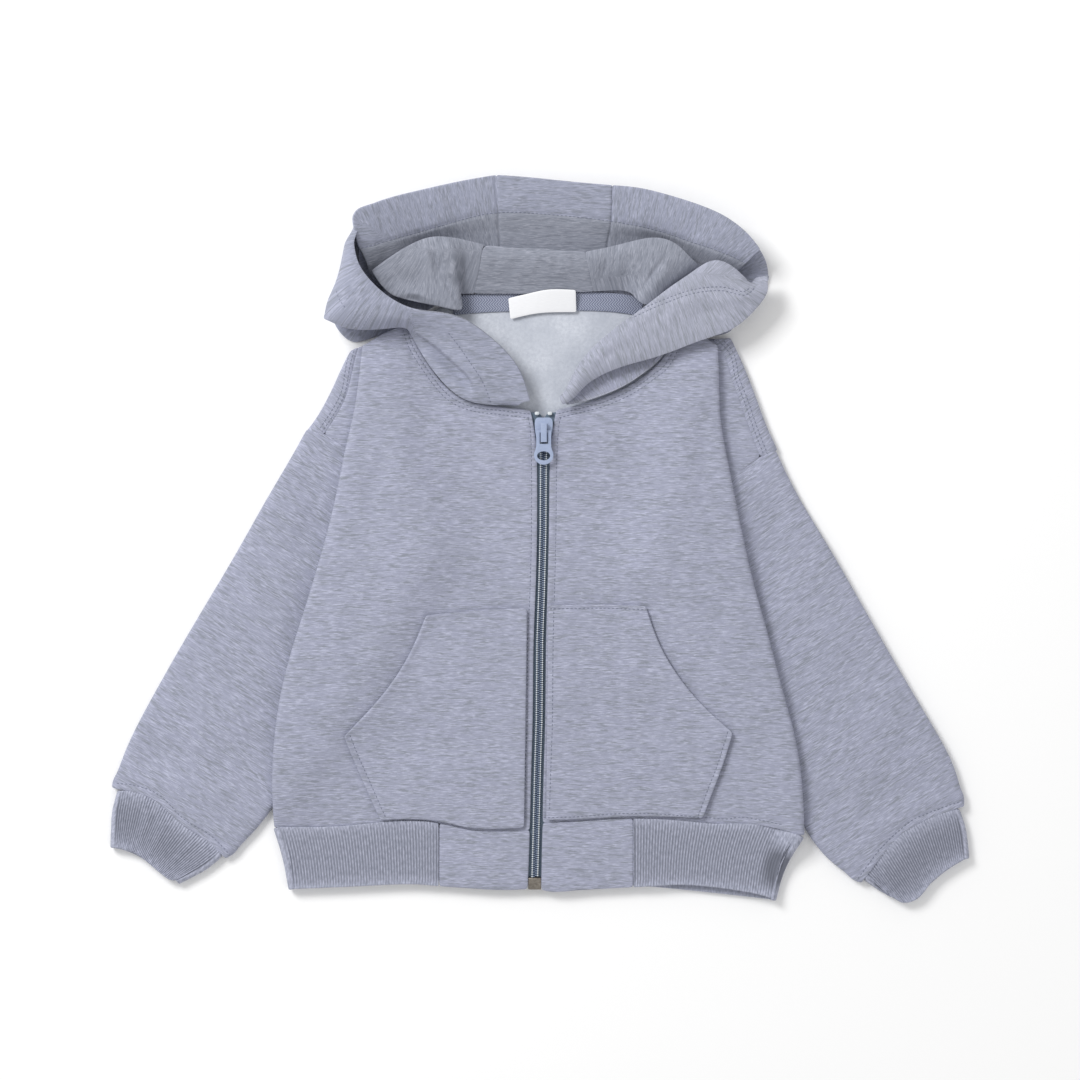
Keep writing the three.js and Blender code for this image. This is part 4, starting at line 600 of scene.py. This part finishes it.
CUFF_SEAMS = {
    "left": curve_through([(-299.5, -174), (-286.5, -175), (-275.5, -178), (-266, -183.5), (-251, -198.5),
                           (-233, -209.5), (-219.5, -223)]),
    "right": curve_through([(297.5, -186), (285, -190), (271, -195.5), (260, -201), (241.5, -218),
                            (225, -240)]),
}
cuff_stitches = {"left": [beside(CUFF_SEAMS["left"], 3.8)],
                 "right": [beside(CUFF_SEAMS["right"], -3.8)]}
# The seams to the shoulders, and how far the sleeve's cloth reaches over them in x and y
ARMHOLES = {
    "left": curve_through([(-164.2, 74.8), (-161.5, 73.2), (-147.6, 71.1), (-135.6, 62.9)]),
    "right": curve_through([(166.1, 59.9), (163.4, 58.6), (150.4, 52.5), (138.8, 43.9)]),
}
ARMHOLE_REACH = {"left": (0.9, 2.4), "right": (-1.0, 3.0)}
for side, seed in (("left", 12), ("right", 13)):
    sleeve = cloth_shell(f"sleeve_{side}", f"sleeve_{side}_cloth", 3)
    points = points_of(sleeve)
    turned_grain(sleeve, points, SLEEVE_TURN[side])
    upper = top_share(points, 2.6, 5.0)
    rise = creases(points, SLEEVE_CREASES[side]) + unevenness(points, 38, 1.0, seed)
    rise += unevenness(points, 14, 0.35, seed + 5) + 1.2 * np.clip((np.abs(points[:, 0]) - 185) / 30, 0, 1)
    rise += grooves(points, cuff_stitches[side], 1.3, 0.5)
    # Under the body the cloth may only sink
    past_body = np.abs(points[:, 0]) - 176 + 0.42 * np.maximum(points[:, 1] + 180, 0)
    free = np.clip(past_body / 8, 0, 1)
    points[:, 2] += upper * (rise * free + np.minimum(rise, 0) * (1 - free))
    # The full sleeve swells past the ends of the cuff's seam
    away, place, total = distance_to(CUFF_SEAMS[side], points)
    along = (CUFF_SEAMS[side][-1] - CUFF_SEAMS[side][0]) / total
    share = 2 * place / total - 1
    swell = 1.6 * np.sign(share) * np.abs(share) ** 6 * np.exp(-((np.abs(away) - 5) / 6) ** 2)
    points[:, :2] += swell[:, None] * along
    away, place, total = distance_to(ARMHOLES[side], points)
    points[:, :2] += np.outer(1 - smooth_share(np.abs(away) / 14), ARMHOLE_REACH[side])
    move_points(sleeve, points)
    cloth_finish(sleeve, body_knit)
    cloth_piece(sleeve, f"sleeve_{side}")
    shaped[f"sleeve_{side}"] = sleeve
    shaped[f"cuff_{side}"] = ribbed_piece(f"cuff_{side}", SLEEVE_TURN[side] * 1.2,
                                          CUFF_SEAMS[side])

# Dropped shoulders: the body's back panel is cut wide, so it comes forward over the arm and meets
# the front at the shoulder seam; the sleeve is sewn on below it.
SHOULDER_SEAMS = {
    "left": curve_through([(-127, 134.5), (-130.5, 121.5), (-134, 102.5), (-141, 88.5), (-150.5, 74.3)]),
    "right": curve_through([(121, 140), (131, 128.5), (134.5, 112.5), (141, 95.5), (147.5, 76.5),
                            (154.5, 58.5)]),
}
SHOULDERS = [
    # node | turn of the knit | cut width, length | area
    ("back_shoulder_left", SLEEVE_TURN["left"] * 1.2, (84, 128), 5800),
    ("front_shoulder_left", 0, (36, 80), 1400),
    ("back_shoulder_right", SLEEVE_TURN["right"] * 1.2, (84, 142), 8000),
    ("front_shoulder_right", 0, (40, 104), 2300),
]
for node, turn, cut, area in SHOULDERS:
    shoulder = cloth_shell(node, f"{node}_cloth", 3)
    turned_grain(shoulder, points_of(shoulder), turn)
    cloth_finish(shoulder, body_knit)
    cloth_piece(shoulder, node)
    shaped[node] = shoulder

# Hood: two sides and a centre strip of the body cloth, lined with the same and stitched 25 mm
# from its opening edge. Its left side leans in over the neck and its right side rolls outwards.
HOOD_EDGE = curve_through([
    (-7, 97), (-9, 104), (-24, 132), (-39, 144), (-65, 156), (-89, 160), (-113, 174), (-126, 192),
    (-131, 223), (-112, 234), (-84, 243), (-30, 254), (10, 250), (50, 247), (93, 239), (129, 225),
    (153, 202), (160, 184), (148, 159), (122, 142), (93, 132), (64, 123), (40, 114), (23, 100), (16, 95)])
# The same jersey in three shades, two of them with light and shade painted in: its outside; its
# inside, painted darker for the hood's shade; and the inside where it rolls out to the light, painted
# lighter for that light. It is smoother than the body, since it is stretched over the rolls.
hood_knit = sweatshirt_knit("heather_jersey_hood", "#858995", "#989caf", "#b2b5c9", 0.35)
lining_knit_painted_shade = sweatshirt_knit("heather_jersey_hood_lining_painted_shade", "#7c808c", "#8f93a0", "#a8abb8", 0.35)
rolled_knit_painted_light = sweatshirt_knit("heather_jersey_rolled_lining_painted_light", "#8e929c", "#a3a6b6", "#bbbdcf", 0.35)


def hood_grain(node, piece, points):
    """Rows of loops square to the hood's edge; level ones on the centre strip and the left lapel."""
    away, place, _ = distance_to(HOOD_EDGE, points)
    along, across = away + points[:, 2], place
    if "center" in node:
        along, across = points[:, 0], points[:, 1]
    elif node == "hood_left":
        at_pinch = distance_to(HOOD_EDGE, np.array([LAPEL_PINCH]))[1][0]
        lapel = smooth_share((points[:, 0] - LAPEL_PINCH[0] + 4) / 8)
        along = along * (1 - lapel) + (points[:, 0] - LAPEL_PINCH[0]) * lapel
        across = across * (1 - lapel) + (points[:, 1] - LAPEL_PINCH[1] + at_pinch) * lapel
    set_grain(piece, along, across)


HOOD_PIECES = [
    # node | material slot | cloth | cut width, length, area
    ("hood_left", "heather_cloth", hood_knit, (150, 110), 10000),
    ("hood_right", "heather_cloth", body_knit, (150, 110), 10000),
    ("hood_back_left", "heather_cloth", hood_knit, (120, 110), 9500),
    ("hood_center", "heather_cloth", hood_knit, (98, 84), 6500),
    ("hood_back_right", "heather_cloth", hood_knit, (120, 110), 8700),
    ("hood_lining_left_front", "hood_lining", lining_knit_painted_shade, (150, 100), 9200),
    ("hood_lining_right_front", "hood_lining", rolled_knit_painted_light, (150, 110), 11500),
    ("hood_lining_left", "hood_lining", lining_knit_painted_shade, (110, 120), 9800),
    ("hood_lining_center", "hood_lining", lining_knit_painted_shade, (98, 110), 8100),
    ("hood_lining_right", "hood_lining", lining_knit_painted_shade, (110, 120), 9100),
]
# x, y three times along each crease | half width | height
HOOD_CREASES = {
    "left_side": [
        (-133, 196, -122, 182, -104, 168, 6, 1.2),
        (-140, 180, -128, 168, -112, 158, 4, -1.1),
        (-118, 172, -104, 162, -92, 158, 3.5, 0.9),
        (-98, 158, -86, 152, -76, 142, 4, -1.0),
        (-80, 158, -64, 152, -50, 140, 5, 1.0),
        (-52, 148, -40, 134, -30, 120, 4, -0.8),
        (-44, 128, -32, 112, -22, 102, 4, 0.9),
    ],
    "right_side": [
        (150, 176, 138, 168, 122, 166, 4, 0.9),
        (140, 180, 124, 182, 108, 178, 5, -1.0),
        (134, 160, 116, 158, 100, 150, 4, -0.8),
        (118, 172, 100, 164, 84, 152, 5, 0.8),
        (92, 160, 78, 152, 66, 140, 4, -0.7),
        (84, 140, 70, 130, 56, 124, 4, 0.7),
        (60, 136, 48, 128, 38, 118, 3, -0.7),
        (150, 184, 146, 180, 140, 181, 2.4, -1.4),
    ],
    "back": [
        (-77, 201, -72, 194, -67, 184, 1.6, -2.2),
        (-80, 205, -78, 193, -74, 180, 3.0, 1.5),
        (-73, 190, -66, 180, -54, 158, 1.7, -1.8),
        (-68, 208, -60, 200, -57, 186, 4.0, 1.6),
        (-54, 196, -54, 186, -58, 177, 2.4, -2.6),
        (-98, 168, -87, 167, -77, 162, 2.0, -1.8),
        (-94, 172, -84, 171, -74, 166, 1.4, 1.2),
        (-120, 186, -101, 199, -82, 210, 3.5, 0.8),
        (-112, 190, -96, 182, -80, 176, 5, -1.0),
        (-34, 204, -30, 196, -33, 188, 2.2, -0.9),
        (-22, 203, -17, 194, -20, 186, 2.4, -0.8),
        (-8, 203, -3, 196, -7, 186, 2.6, 0.7),
        (8, 202, 12, 193, 9, 184, 2.4, -0.8),
        (22, 201, 24, 193, 21, 187, 2.0, -0.7),
        (44, 200, 46, 191, 43, 183, 2.4, -0.9),
        (56, 204, 56, 194, 54, 184, 2.6, 0.8),
        (72, 190, 72, 182, 70, 174, 2.2, -1.4),
        (88, 197, 79, 186, 69, 170, 1.8, -2.0),
        (92, 192, 84, 182, 76, 170, 3.0, 1.0),
        (112, 188, 98, 178, 84, 170, 2.4, -1.2),
        (-60, 240, -58, 228, -52, 216, 5, -0.8),
        (-20, 246, -16, 234, -18, 222, 5, 0.7),
        (24, 246, 22, 234, 26, 220, 6, -0.7),
        (76, 236, 72, 226, 70, 216, 5, 0.8),
        (112, 226, 106, 214, 100, 206, 5, -0.8),
        (-108, 228, -102, 214, -94, 204, 5, 0.8),
    ],
}
# Where the left side narrows to the lapel, the sharp edge of the lapel's hollow, and the stitches
LAPEL_PINCH = (-90, 156)
LEAF_EDGE = curve_through([(-89, 147), (-85.7, 144.1), (-71.7, 134), (-59.4, 123), (-48.9, 112.5),
                           (-45.9, 102.9)])
HOOD_STITCH = curve_through([
    (-127, 201.6), (-115, 205.2), (-77.6, 216.6), (-31.8, 228.1), (14, 226.4), (50.5, 222.2), (76.3, 217.3),
    (92.5, 212.4), (105.8, 207.5), (119.4, 203), (132.8, 197.8), (142.1, 193.5)])
ROLL_STITCH = curve_through([(151.2, 177), (142.1, 169.8), (126, 172.9), (105.8, 170.8), (83.3, 162.8),
                             (73.5, 158.5), (64.5, 154.3)])
LAPEL_STITCH = curve_through([(-63.8, 144), (-56.8, 135.4), (-48.9, 123.9), (-41.2, 112.5), (-36.7, 102.9),
                              (-34.5, 96)])
SIDE_STITCH = curve_through([(-142.3, 178.1), (-139.2, 167.6), (-134.7, 160.6)])
CROWN_SEAMS = [curve_through([(-31.4, 253.7), (-29.3, 228.5), (-27.9, 204.8)]),
               curve_through([(50.8, 246.7), (50, 222.2), (47, 204)])]
for node, slot, cloth, cut, area in HOOD_PIECES:
    piece = cloth_shell(node, f"{node}_cloth", 3, 0.5)
    points = points_of(piece)
    hood_grain(node, piece, points)
    if node in ("hood_left", "hood_lining_left_front"):
        points[:, 2] += creases(points, HOOD_CREASES["left_side"])
        away, place, total = distance_to(LEAF_EDGE, points)
        taper = np.sin(np.pi * np.clip(place / total, 0, 1)) ** 0.6
        points[:, 2] -= 5.5 * taper * smooth_share(-away / 0.9) * (1 - smooth_share((-away - 1.5) / 11))
        points[:, 2] += 1.6 * taper * smooth_share(away / 0.6 + 1) * (1 - smooth_share((away - 1.0) / 7))
        points[:, 2] += grooves(points, [LAPEL_STITCH, SIDE_STITCH], 1.1, 0.6)
        # Its top end tucks in under the crown
        tip = smooth_share((points[:, 1] - 204) / 14)
        points[:, 0] += 3.2 * tip
        points[:, 2] -= 5 * tip
    elif node in ("hood_right", "hood_lining_right_front"):
        points[:, 2] += creases(points, HOOD_CREASES["right_side"])
        # The roll stands up full beside the neck
        trough = (1 - smooth_share((points[:, 0] - 88) / 12)) * np.maximum(0, 12.5 - points[:, 2])
        points[:, 2] += 0.95 * trough
        points[:, 2] += grooves(points, [ROLL_STITCH, beside(ROLL_STITCH, -2.6)], 1.1, 0.6)
        tip = smooth_share((points[:, 0] - 150) / 9) * smooth_share((points[:, 1] - 172) / 8)
        points[:, 2] -= 3 * tip
        points[:, 0] -= 1.2 * tip
    else:
        rise = creases(points, HOOD_CREASES["back"]) + grooves(points, [HOOD_STITCH], 1.1, 0.7)
        if "lining" in node:
            rise += grooves(points, CROWN_SEAMS, 1.0, 0.8)
            end = smooth_share((-114 - points[:, 0]) / 9) * smooth_share((points[:, 1] - 192) / 15)
            points[:, 0] -= 3.5 * end
        points[:, 2] += rise * smooth_share(points[:, 2] / 4) + 0.3 * np.maximum(0, points[:, 2] - 9)
    move_points(piece, points)
    # Painted shade: the lining below the stitch takes the darker copy; the band beyond it takes the
    # outside's cloth.
    if "lining" in node and "front" not in node:
        beyond_stitch = distance_to(HOOD_STITCH, of_faces(piece, "center") / MM)[0] > 0
        cloth_finish(piece, lining_knit_painted_shade, hood_knit, beyond_stitch)
    else:
        cloth_finish(piece, cloth)
    cloth_piece(piece, node)
    shaped[node] = piece

# Neck tape: a woven herringbone tape, 12 mm wide, covers the seam inside the back neck. Its
# slanting rows are drawn 1.9 mm apart, coarser than the real ones of about 1 mm, so that they show.
tape_weave, tree, shader = new_material("herringbone_cotton_tape", 0.85)
place = add(tree, "ShaderNodeTexCoord")
parts = add(tree, "ShaderNodeSeparateXYZ", {0: place.outputs["Object"]})
fold = add(tree, "ShaderNodeMath", {0: parts.outputs["Y"], 1: 3 * MM}, operation="PINGPONG")
slant = add(tree, "ShaderNodeMath", {0: parts.outputs["X"], 1: fold.outputs[0]}, operation="ADD")
turns = add(tree, "ShaderNodeMath", {0: slant.outputs[0], 1: 2 * math.pi / (1.9 * MM)},
            operation="MULTIPLY")
wave = add(tree, "ShaderNodeMath", {0: turns.outputs[0]}, operation="SINE")
share = add(tree, "ShaderNodeMapRange", {"Value": wave.outputs[0], "From Min": -0.8, "From Max": 0.8})
tone = add(tree, "ShaderNodeMix", {0: share.outputs[0], 6: srgb("#6f748a"), 7: srgb("#a4aabd")},
           data_type="RGBA")
tree.links.new(tone.outputs[2], shader.inputs["Base Color"])
bump = add(tree, "ShaderNodeBump", {"Height": wave.outputs[0], "Strength": 0.6, "Distance": 0.25 * MM})
tree.links.new(bump.outputs["Normal"], shader.inputs["Normal"])
tape = cloth_shell("neck_tape", "neck_tape_weave", 2, 0.3)
tape.data.materials.append(tape_weave)
cloth_piece(tape, "neck_tape")
shaped["neck_tape"] = tape

# Label: a folded strip of white satin weave, left bare, sewn down at its short ends. Long floats
# of thread give it a soft shine and very fine level lines.
satin, tree, shader = new_material("white_satin_weave", 0.55)
place = add(tree, "ShaderNodeTexCoord")
scaled = add(tree, "ShaderNodeVectorMath", {0: place.outputs["Object"], 1: (260, 2600, 1)},
             operation="MULTIPLY")
threads = add(tree, "ShaderNodeTexNoise", {"Vector": scaled.outputs[0], "Scale": 1.0, "Detail": 2.0})
tone = add(tree, "ShaderNodeMix", {0: threads.outputs["Fac"], 6: srgb("#e6e7ea"), 7: srgb("#f6f6f8")},
           data_type="RGBA")
tree.links.new(tone.outputs[2], shader.inputs["Base Color"])
bump = add(tree, "ShaderNodeBump", {
    "Height": threads.outputs["Fac"], "Strength": 0.4, "Distance": 0.15 * MM})
tree.links.new(bump.outputs["Normal"], shader.inputs["Normal"])
label = cloth_shell("label", "blank_label", 3, 0.25)
label.data.materials.append(satin)
cloth_piece(label, "label")
shaped["label"] = label

# Zip: nylon coils sewn to two woven tapes, with a row of pale thread along each coil, a metal
# box at the bottom and stops at the top.
# y, x of the zip's middle
ZIP_MIDDLE = [(-246, -3.5), (-207, -2.5), (-157, -1.25), (-126.5, -0.25), (-70.5, 0.25), (-35.5, 1.5),
              (6.5, 2.5), (51.5, 2.75), (79.5, 3), (91, 2.75)]
TOOTH_PITCH = 1.55
COIL_LOW, COIL_HIGH = -235.5, 86.8
COIL_Z = 7.0
COIL_INNER, COIL_OUTER = 1.45, 1.25
COIL_OPEN = 4.6
SLIDER_LOW, SLIDER_SPREAD = 76, 9.5
OPEN_FROM, OPEN_SPREAD = 85.5, 3.5


def zip_x(y):
    """Where the zip's middle lies across the garment."""
    return np.interp(y, [r[0] for r in ZIP_MIDDLE], [r[1] for r in ZIP_MIDDLE]) - 0.25


def coil_offset(y):
    """Distance of a coil's middle from the zip's middle: closed below the slider, open above it."""
    inside = COIL_INNER + 0.95 * smooth_share((y - SLIDER_LOW) / SLIDER_SPREAD)
    return inside + (COIL_OPEN - inside) * smooth_share((y - OPEN_FROM) / OPEN_SPREAD)


def mesh_piece(name, verts, faces, material):
    """A piece from points in millimetres."""
    mesh = bpy.data.meshes.new(name)
    mesh.from_pydata([tuple(c * MM for c in v) for v in verts], [], faces)
    mesh.materials.append(material)
    mesh.validate()
    piece = bpy.data.objects.new(name, mesh)
    bpy.context.scene.collection.objects.link(piece)
    for face in mesh.polygons:
        face.use_smooth = True
    return piece


def bar(verts, faces, stations, width, height, sides=6):
    """Adds a closed rounded bar through stations of place and size; width and height at size 1."""
    first = len(verts)
    path = [Vector(p) for p, _ in stations]
    for k, (p, size) in enumerate(stations):
        ahead = (path[min(k + 1, len(path) - 1)] - path[max(k - 1, 0)]).normalized()
        side = ahead.cross(Vector((0, 0, 1))).normalized()
        up = side.cross(ahead)
        for n in range(sides):
            angle = 2 * math.pi * n / sides
            verts.append(Vector(p) + side * (width / 2 * size * math.cos(angle))
                         + up * (height / 2 * size * math.sin(angle)))
    for k in range(len(stations) - 1):
        for n in range(sides):
            a, b = first + k * sides + n, first + k * sides + (n + 1) % sides
            faces.append((a, b, b + sides, a + sides))
    faces.append(tuple(first + n for n in reversed(range(sides))))
    faces.append(tuple(first + (len(stations) - 1) * sides + n for n in range(sides)))


def mottled(name, roughness, low, high, scale, detail, metallic=0.0):
    """A material whose colour drifts between two tones; returns it, its node tree, shader and noise."""
    material, tree, shader = new_material(name, roughness, metallic)
    place = add(tree, "ShaderNodeTexCoord")
    drift = add(tree, "ShaderNodeTexNoise", {
        "Vector": place.outputs["Object"], "Scale": scale, "Detail": detail})
    tone = add(tree, "ShaderNodeMix", {0: drift.outputs["Fac"], 6: srgb(low), 7: srgb(high)},
               data_type="RGBA")
    tree.links.new(tone.outputs[2], shader.inputs["Base Color"])
    return material, tree, shader, drift


# Drawn nylon filament, dyed: smooth, with a soft shine along the teeth.
nylon, tree, shader, _ = mottled("dyed_nylon_coil", 0.38, "#6f7d96", "#8593ab", 600.0, 2.0)
shader.inputs["IOR"].default_value = 1.53
# Spun polyester thread, undyed: matt and nearly white, so it reads as two dotted rows.
pale_thread = mottled("pale_polyester_thread", 0.6, "#c2c9cf", "#e4e8ea", 900.0, 1.0)[0]

for side, sign in (("left", -1), ("right", 1)):
    verts, faces, thread_verts, thread_faces = [], [], [], []
    count = int((COIL_HIGH - COIL_LOW) / TOOTH_PITCH)
    for k in range(count):
        y = COIL_LOW + (k + (0.5 if sign > 0 else 0)) * TOOTH_PITCH
        middle, off = float(zip_x(y)), float(coil_offset(y))
        near, far = middle + sign * (off - COIL_INNER), middle + sign * (off + COIL_OUTER)
        bar(verts, faces, [((near, y, COIL_Z), 0.45), ((near + sign * 0.35, y, COIL_Z), 1.0),
                           ((middle + sign * off, y, COIL_Z), 0.95),
                           ((far - sign * 0.3, y, COIL_Z), 0.95), ((far, y, COIL_Z), 0.4)], 1.0, 1.9)
        bead = middle + sign * (off + 0.5)
        bar(thread_verts, thread_faces, [((bead, y - 0.6, 7.85), 0.4), ((bead, y, 8.1), 1.0),
                                         ((bead, y + 0.6, 7.85), 0.4)], 1.15, 0.7)
    coil = mesh_piece(f"zip_coil_{side}_teeth", verts, faces, nylon)
    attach(coil, "garment")
    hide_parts(f"zip_coil_{side}")
    thread = mesh_piece(f"zip_thread_{side}", thread_verts, thread_faces, pale_thread)
    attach(thread, "garment")

# Woven polyester tape: fine cross ribs, drawn 0.9 mm apart where the real ones are about 0.5 mm,
# so that they show.
twill, tree, shader = new_material("woven_polyester_zip_tape", 0.8)
place = add(tree, "ShaderNodeTexCoord")
parts = add(tree, "ShaderNodeSeparateXYZ", {0: place.outputs["Object"]})
turns = add(tree, "ShaderNodeMath", {0: parts.outputs["Y"], 1: 2 * math.pi / (0.9 * MM)},
            operation="MULTIPLY")
wave = add(tree, "ShaderNodeMath", {0: turns.outputs[0]}, operation="SINE")
share = add(tree, "ShaderNodeMapRange", {"Value": wave.outputs[0], "From Min": -1.0, "From Max": 1.0})
tone = add(tree, "ShaderNodeMix", {0: share.outputs[0], 6: srgb("#5d6c7c"), 7: srgb("#748394")},
           data_type="RGBA")
tree.links.new(tone.outputs[2], shader.inputs["Base Color"])
bump = add(tree, "ShaderNodeBump", {"Height": wave.outputs[0], "Strength": 0.5, "Distance": 0.15 * MM})
tree.links.new(bump.outputs["Normal"], shader.inputs["Normal"])
for side in ("left", "right"):
    zip_tape = cloth_shell(f"zip_tape_{side}", f"zip_tape_{side}_weave", 2, 0.3)
    zip_tape.data.materials.append(twill)
    cloth_piece(zip_tape, f"zip_tape_{side}")
    stop = cloth_shell(f"zip_stop_{side}", f"zip_stop_{side}_moulded", 2, 0.5)
    stop.data.materials.append(pale_thread)
    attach(stop, "garment")
    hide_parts(f"zip_stop_{side}")

# Bottom box, slider and pull: zinc castings. The box has a dark plated finish; the slider and
# the pull tab are enamelled in the tape's blue-grey. The tab swings on a bar below the bail.
# Dark plating, tumbled after it is cast: a metal shine with lighter, worn places.
pewter = mottled("dark_plated_zinc", 0.34, "#57504a", "#b5aea4", 500.0, 3.0, 1.0)[0]
# Baked enamel: an even colour and a broad soft highlight, a little uneven like orange peel.
enamel, tree, shader, orange_peel = mottled(
    "blue_grey_enamel_on_zinc", 0.36, "#94a1be", "#a7b3cd", 700.0, 2.0)
bump = add(tree, "ShaderNodeBump", {
    "Height": orange_peel.outputs["Fac"], "Strength": 0.2, "Distance": 0.05 * MM})
tree.links.new(bump.outputs["Normal"], shader.inputs["Normal"])


def casting(node, name, material, body, round_mm):
    """A copy of a hard node with its edges rounded, as a casting's are."""
    piece = bpy.data.objects.new(name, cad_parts[node].data.copy())
    bpy.context.scene.collection.objects.link(piece)
    piece.data.materials.clear()
    piece.data.materials.append(material)
    bpy.ops.object.select_all(action="DESELECT")
    piece.select_set(True)
    bpy.context.view_layer.objects.active = piece
    bpy.ops.object.mode_set(mode="EDIT")
    bpy.ops.mesh.select_all(action="SELECT")
    bpy.ops.mesh.remove_doubles(threshold=0.002 * MM)
    bpy.ops.mesh.customdata_custom_splitnormals_clear()
    bpy.ops.mesh.dissolve_limited(angle_limit=math.radians(2))
    bpy.ops.object.mode_set(mode="OBJECT")
    bevel = piece.modifiers.new("rounded_edges", "BEVEL")
    bevel.width = round_mm * MM
    bevel.segments = 3
    bevel.limit_method = "ANGLE"
    bevel.angle_limit = math.radians(40)
    bpy.ops.object.modifier_apply(modifier=bevel.name)
    bpy.ops.object.shade_smooth_by_angle(angle=math.radians(35))
    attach(piece, body)
    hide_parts(node)
    return piece


casting("zip_box", "zip_box_plated", pewter, "garment", 0.7)
casting("zip_slider", "zip_slider_enamelled", enamel, "garment", 0.25)
casting("zip_pull", "zip_pull_enamelled", enamel, "pull", 0.35)

# Topstitching: spun polyester thread in the cloth's grey, about nine stitches to an inch, pulled
# a little into the cloth. A stitch is drawn as a short bar with its ends sunk.
grey_thread = mottled("grey_polyester_thread", 0.7, "#6d7182", "#83889a", 900.0, 1.0)[0]
STITCH, STITCH_GAP = 2.1, 0.8
THREAD_WIDTH, THREAD_HEIGHT = 0.65, 0.45
STITCH_SINK = 0.12
STEEPEST = 1.5


def surface_of(names):
    """What a ray from above meets: the finished pieces that the stitches may lie on."""
    verts, faces = [], []
    for name in names:
        first = len(verts)
        mesh = shaped[name].data
        verts.extend(v.co.copy() for v in mesh.vertices)
        faces.extend([first + i for i in face.vertices] for face in mesh.polygons)
    return BVHTree.FromPolygons(verts, faces)


def even_places(line, pitch):
    """Places along a line every pitch millimetres."""
    run = np.linalg.norm(np.diff(line[:, :2], axis=0), axis=1)
    far = np.concatenate([[0], np.cumsum(run)])
    at = np.arange(0, far[-1], pitch)
    return [np.interp(at, far, line[:, 0]), np.interp(at, far, line[:, 1]),
            np.interp(at + STITCH, far, line[:, 0]), np.interp(at + STITCH, far, line[:, 1])]


def stitch_rows(name, lines, names):
    """One piece of thread for all the stitches on some lines, laid on the pieces named. A stitch
    that would hang over an edge is left out."""
    surface = surface_of(names)
    verts, faces = [], []

    def height(x, y):
        hit = surface.ray_cast(Vector((x * MM, y * MM, 0.2)), Vector((0, 0, -1)))
        return hit[0].z / MM if hit[0] else None

    for line in lines:
        for x0, y0, x1, y1 in zip(*even_places(line, STITCH + STITCH_GAP)):
            middle_x, middle_y = (x0 + x1) / 2, (y0 + y1) / 2
            heights = [height(x, y) for x, y in ((x0, y0), (middle_x, middle_y), (x1, y1))]
            if None in heights or max(heights) - min(heights) > STEEPEST:
                continue
            bar(verts, faces, [((x0, y0, heights[0] - STITCH_SINK), 0.5),
                               ((middle_x, middle_y, heights[1] + STITCH_SINK), 1.0),
                               ((x1, y1, heights[2] - STITCH_SINK), 0.5)],
                THREAD_WIDTH, THREAD_HEIGHT, 5)
    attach(mesh_piece(name, verts, faces, grey_thread), "garment")


stitch_rows("front_left_topstitch", front_stitches["left"], ["front_left", "pocket_left"])
stitch_rows("front_right_topstitch", front_stitches["right"], ["front_right", "pocket_right"])
stitch_rows("pocket_left_topstitch", pocket_stitches["left"], ["pocket_left"])
stitch_rows("pocket_right_topstitch", pocket_stitches["right"], ["pocket_right"])
for side in ("left", "right"):
    stitch_rows(f"cuff_{side}_topstitch", cuff_stitches[side], [f"sleeve_{side}"])
stitch_rows("hood_back_hem_stitch", [HOOD_STITCH],
            ["hood_lining_left", "hood_lining_center", "hood_lining_right", "hood_right", "hood_left"])
stitch_rows("hood_right_hem_stitch", [ROLL_STITCH, beside(ROLL_STITCH, -2.6)],
            ["hood_lining_right_front"])
stitch_rows("hood_left_hem_stitch", [LAPEL_STITCH, SIDE_STITCH], ["hood_left"])
stitch_rows("shoulder_left_topstitch",
            [beside(SHOULDER_SEAMS["left"], -2.4), beside(SHOULDER_SEAMS["left"], -5)],
            ["back_shoulder_left"])
stitch_rows("shoulder_right_topstitch",
            [beside(SHOULDER_SEAMS["right"], 2.4), beside(SHOULDER_SEAMS["right"], 5)],
            ["back_shoulder_right"])
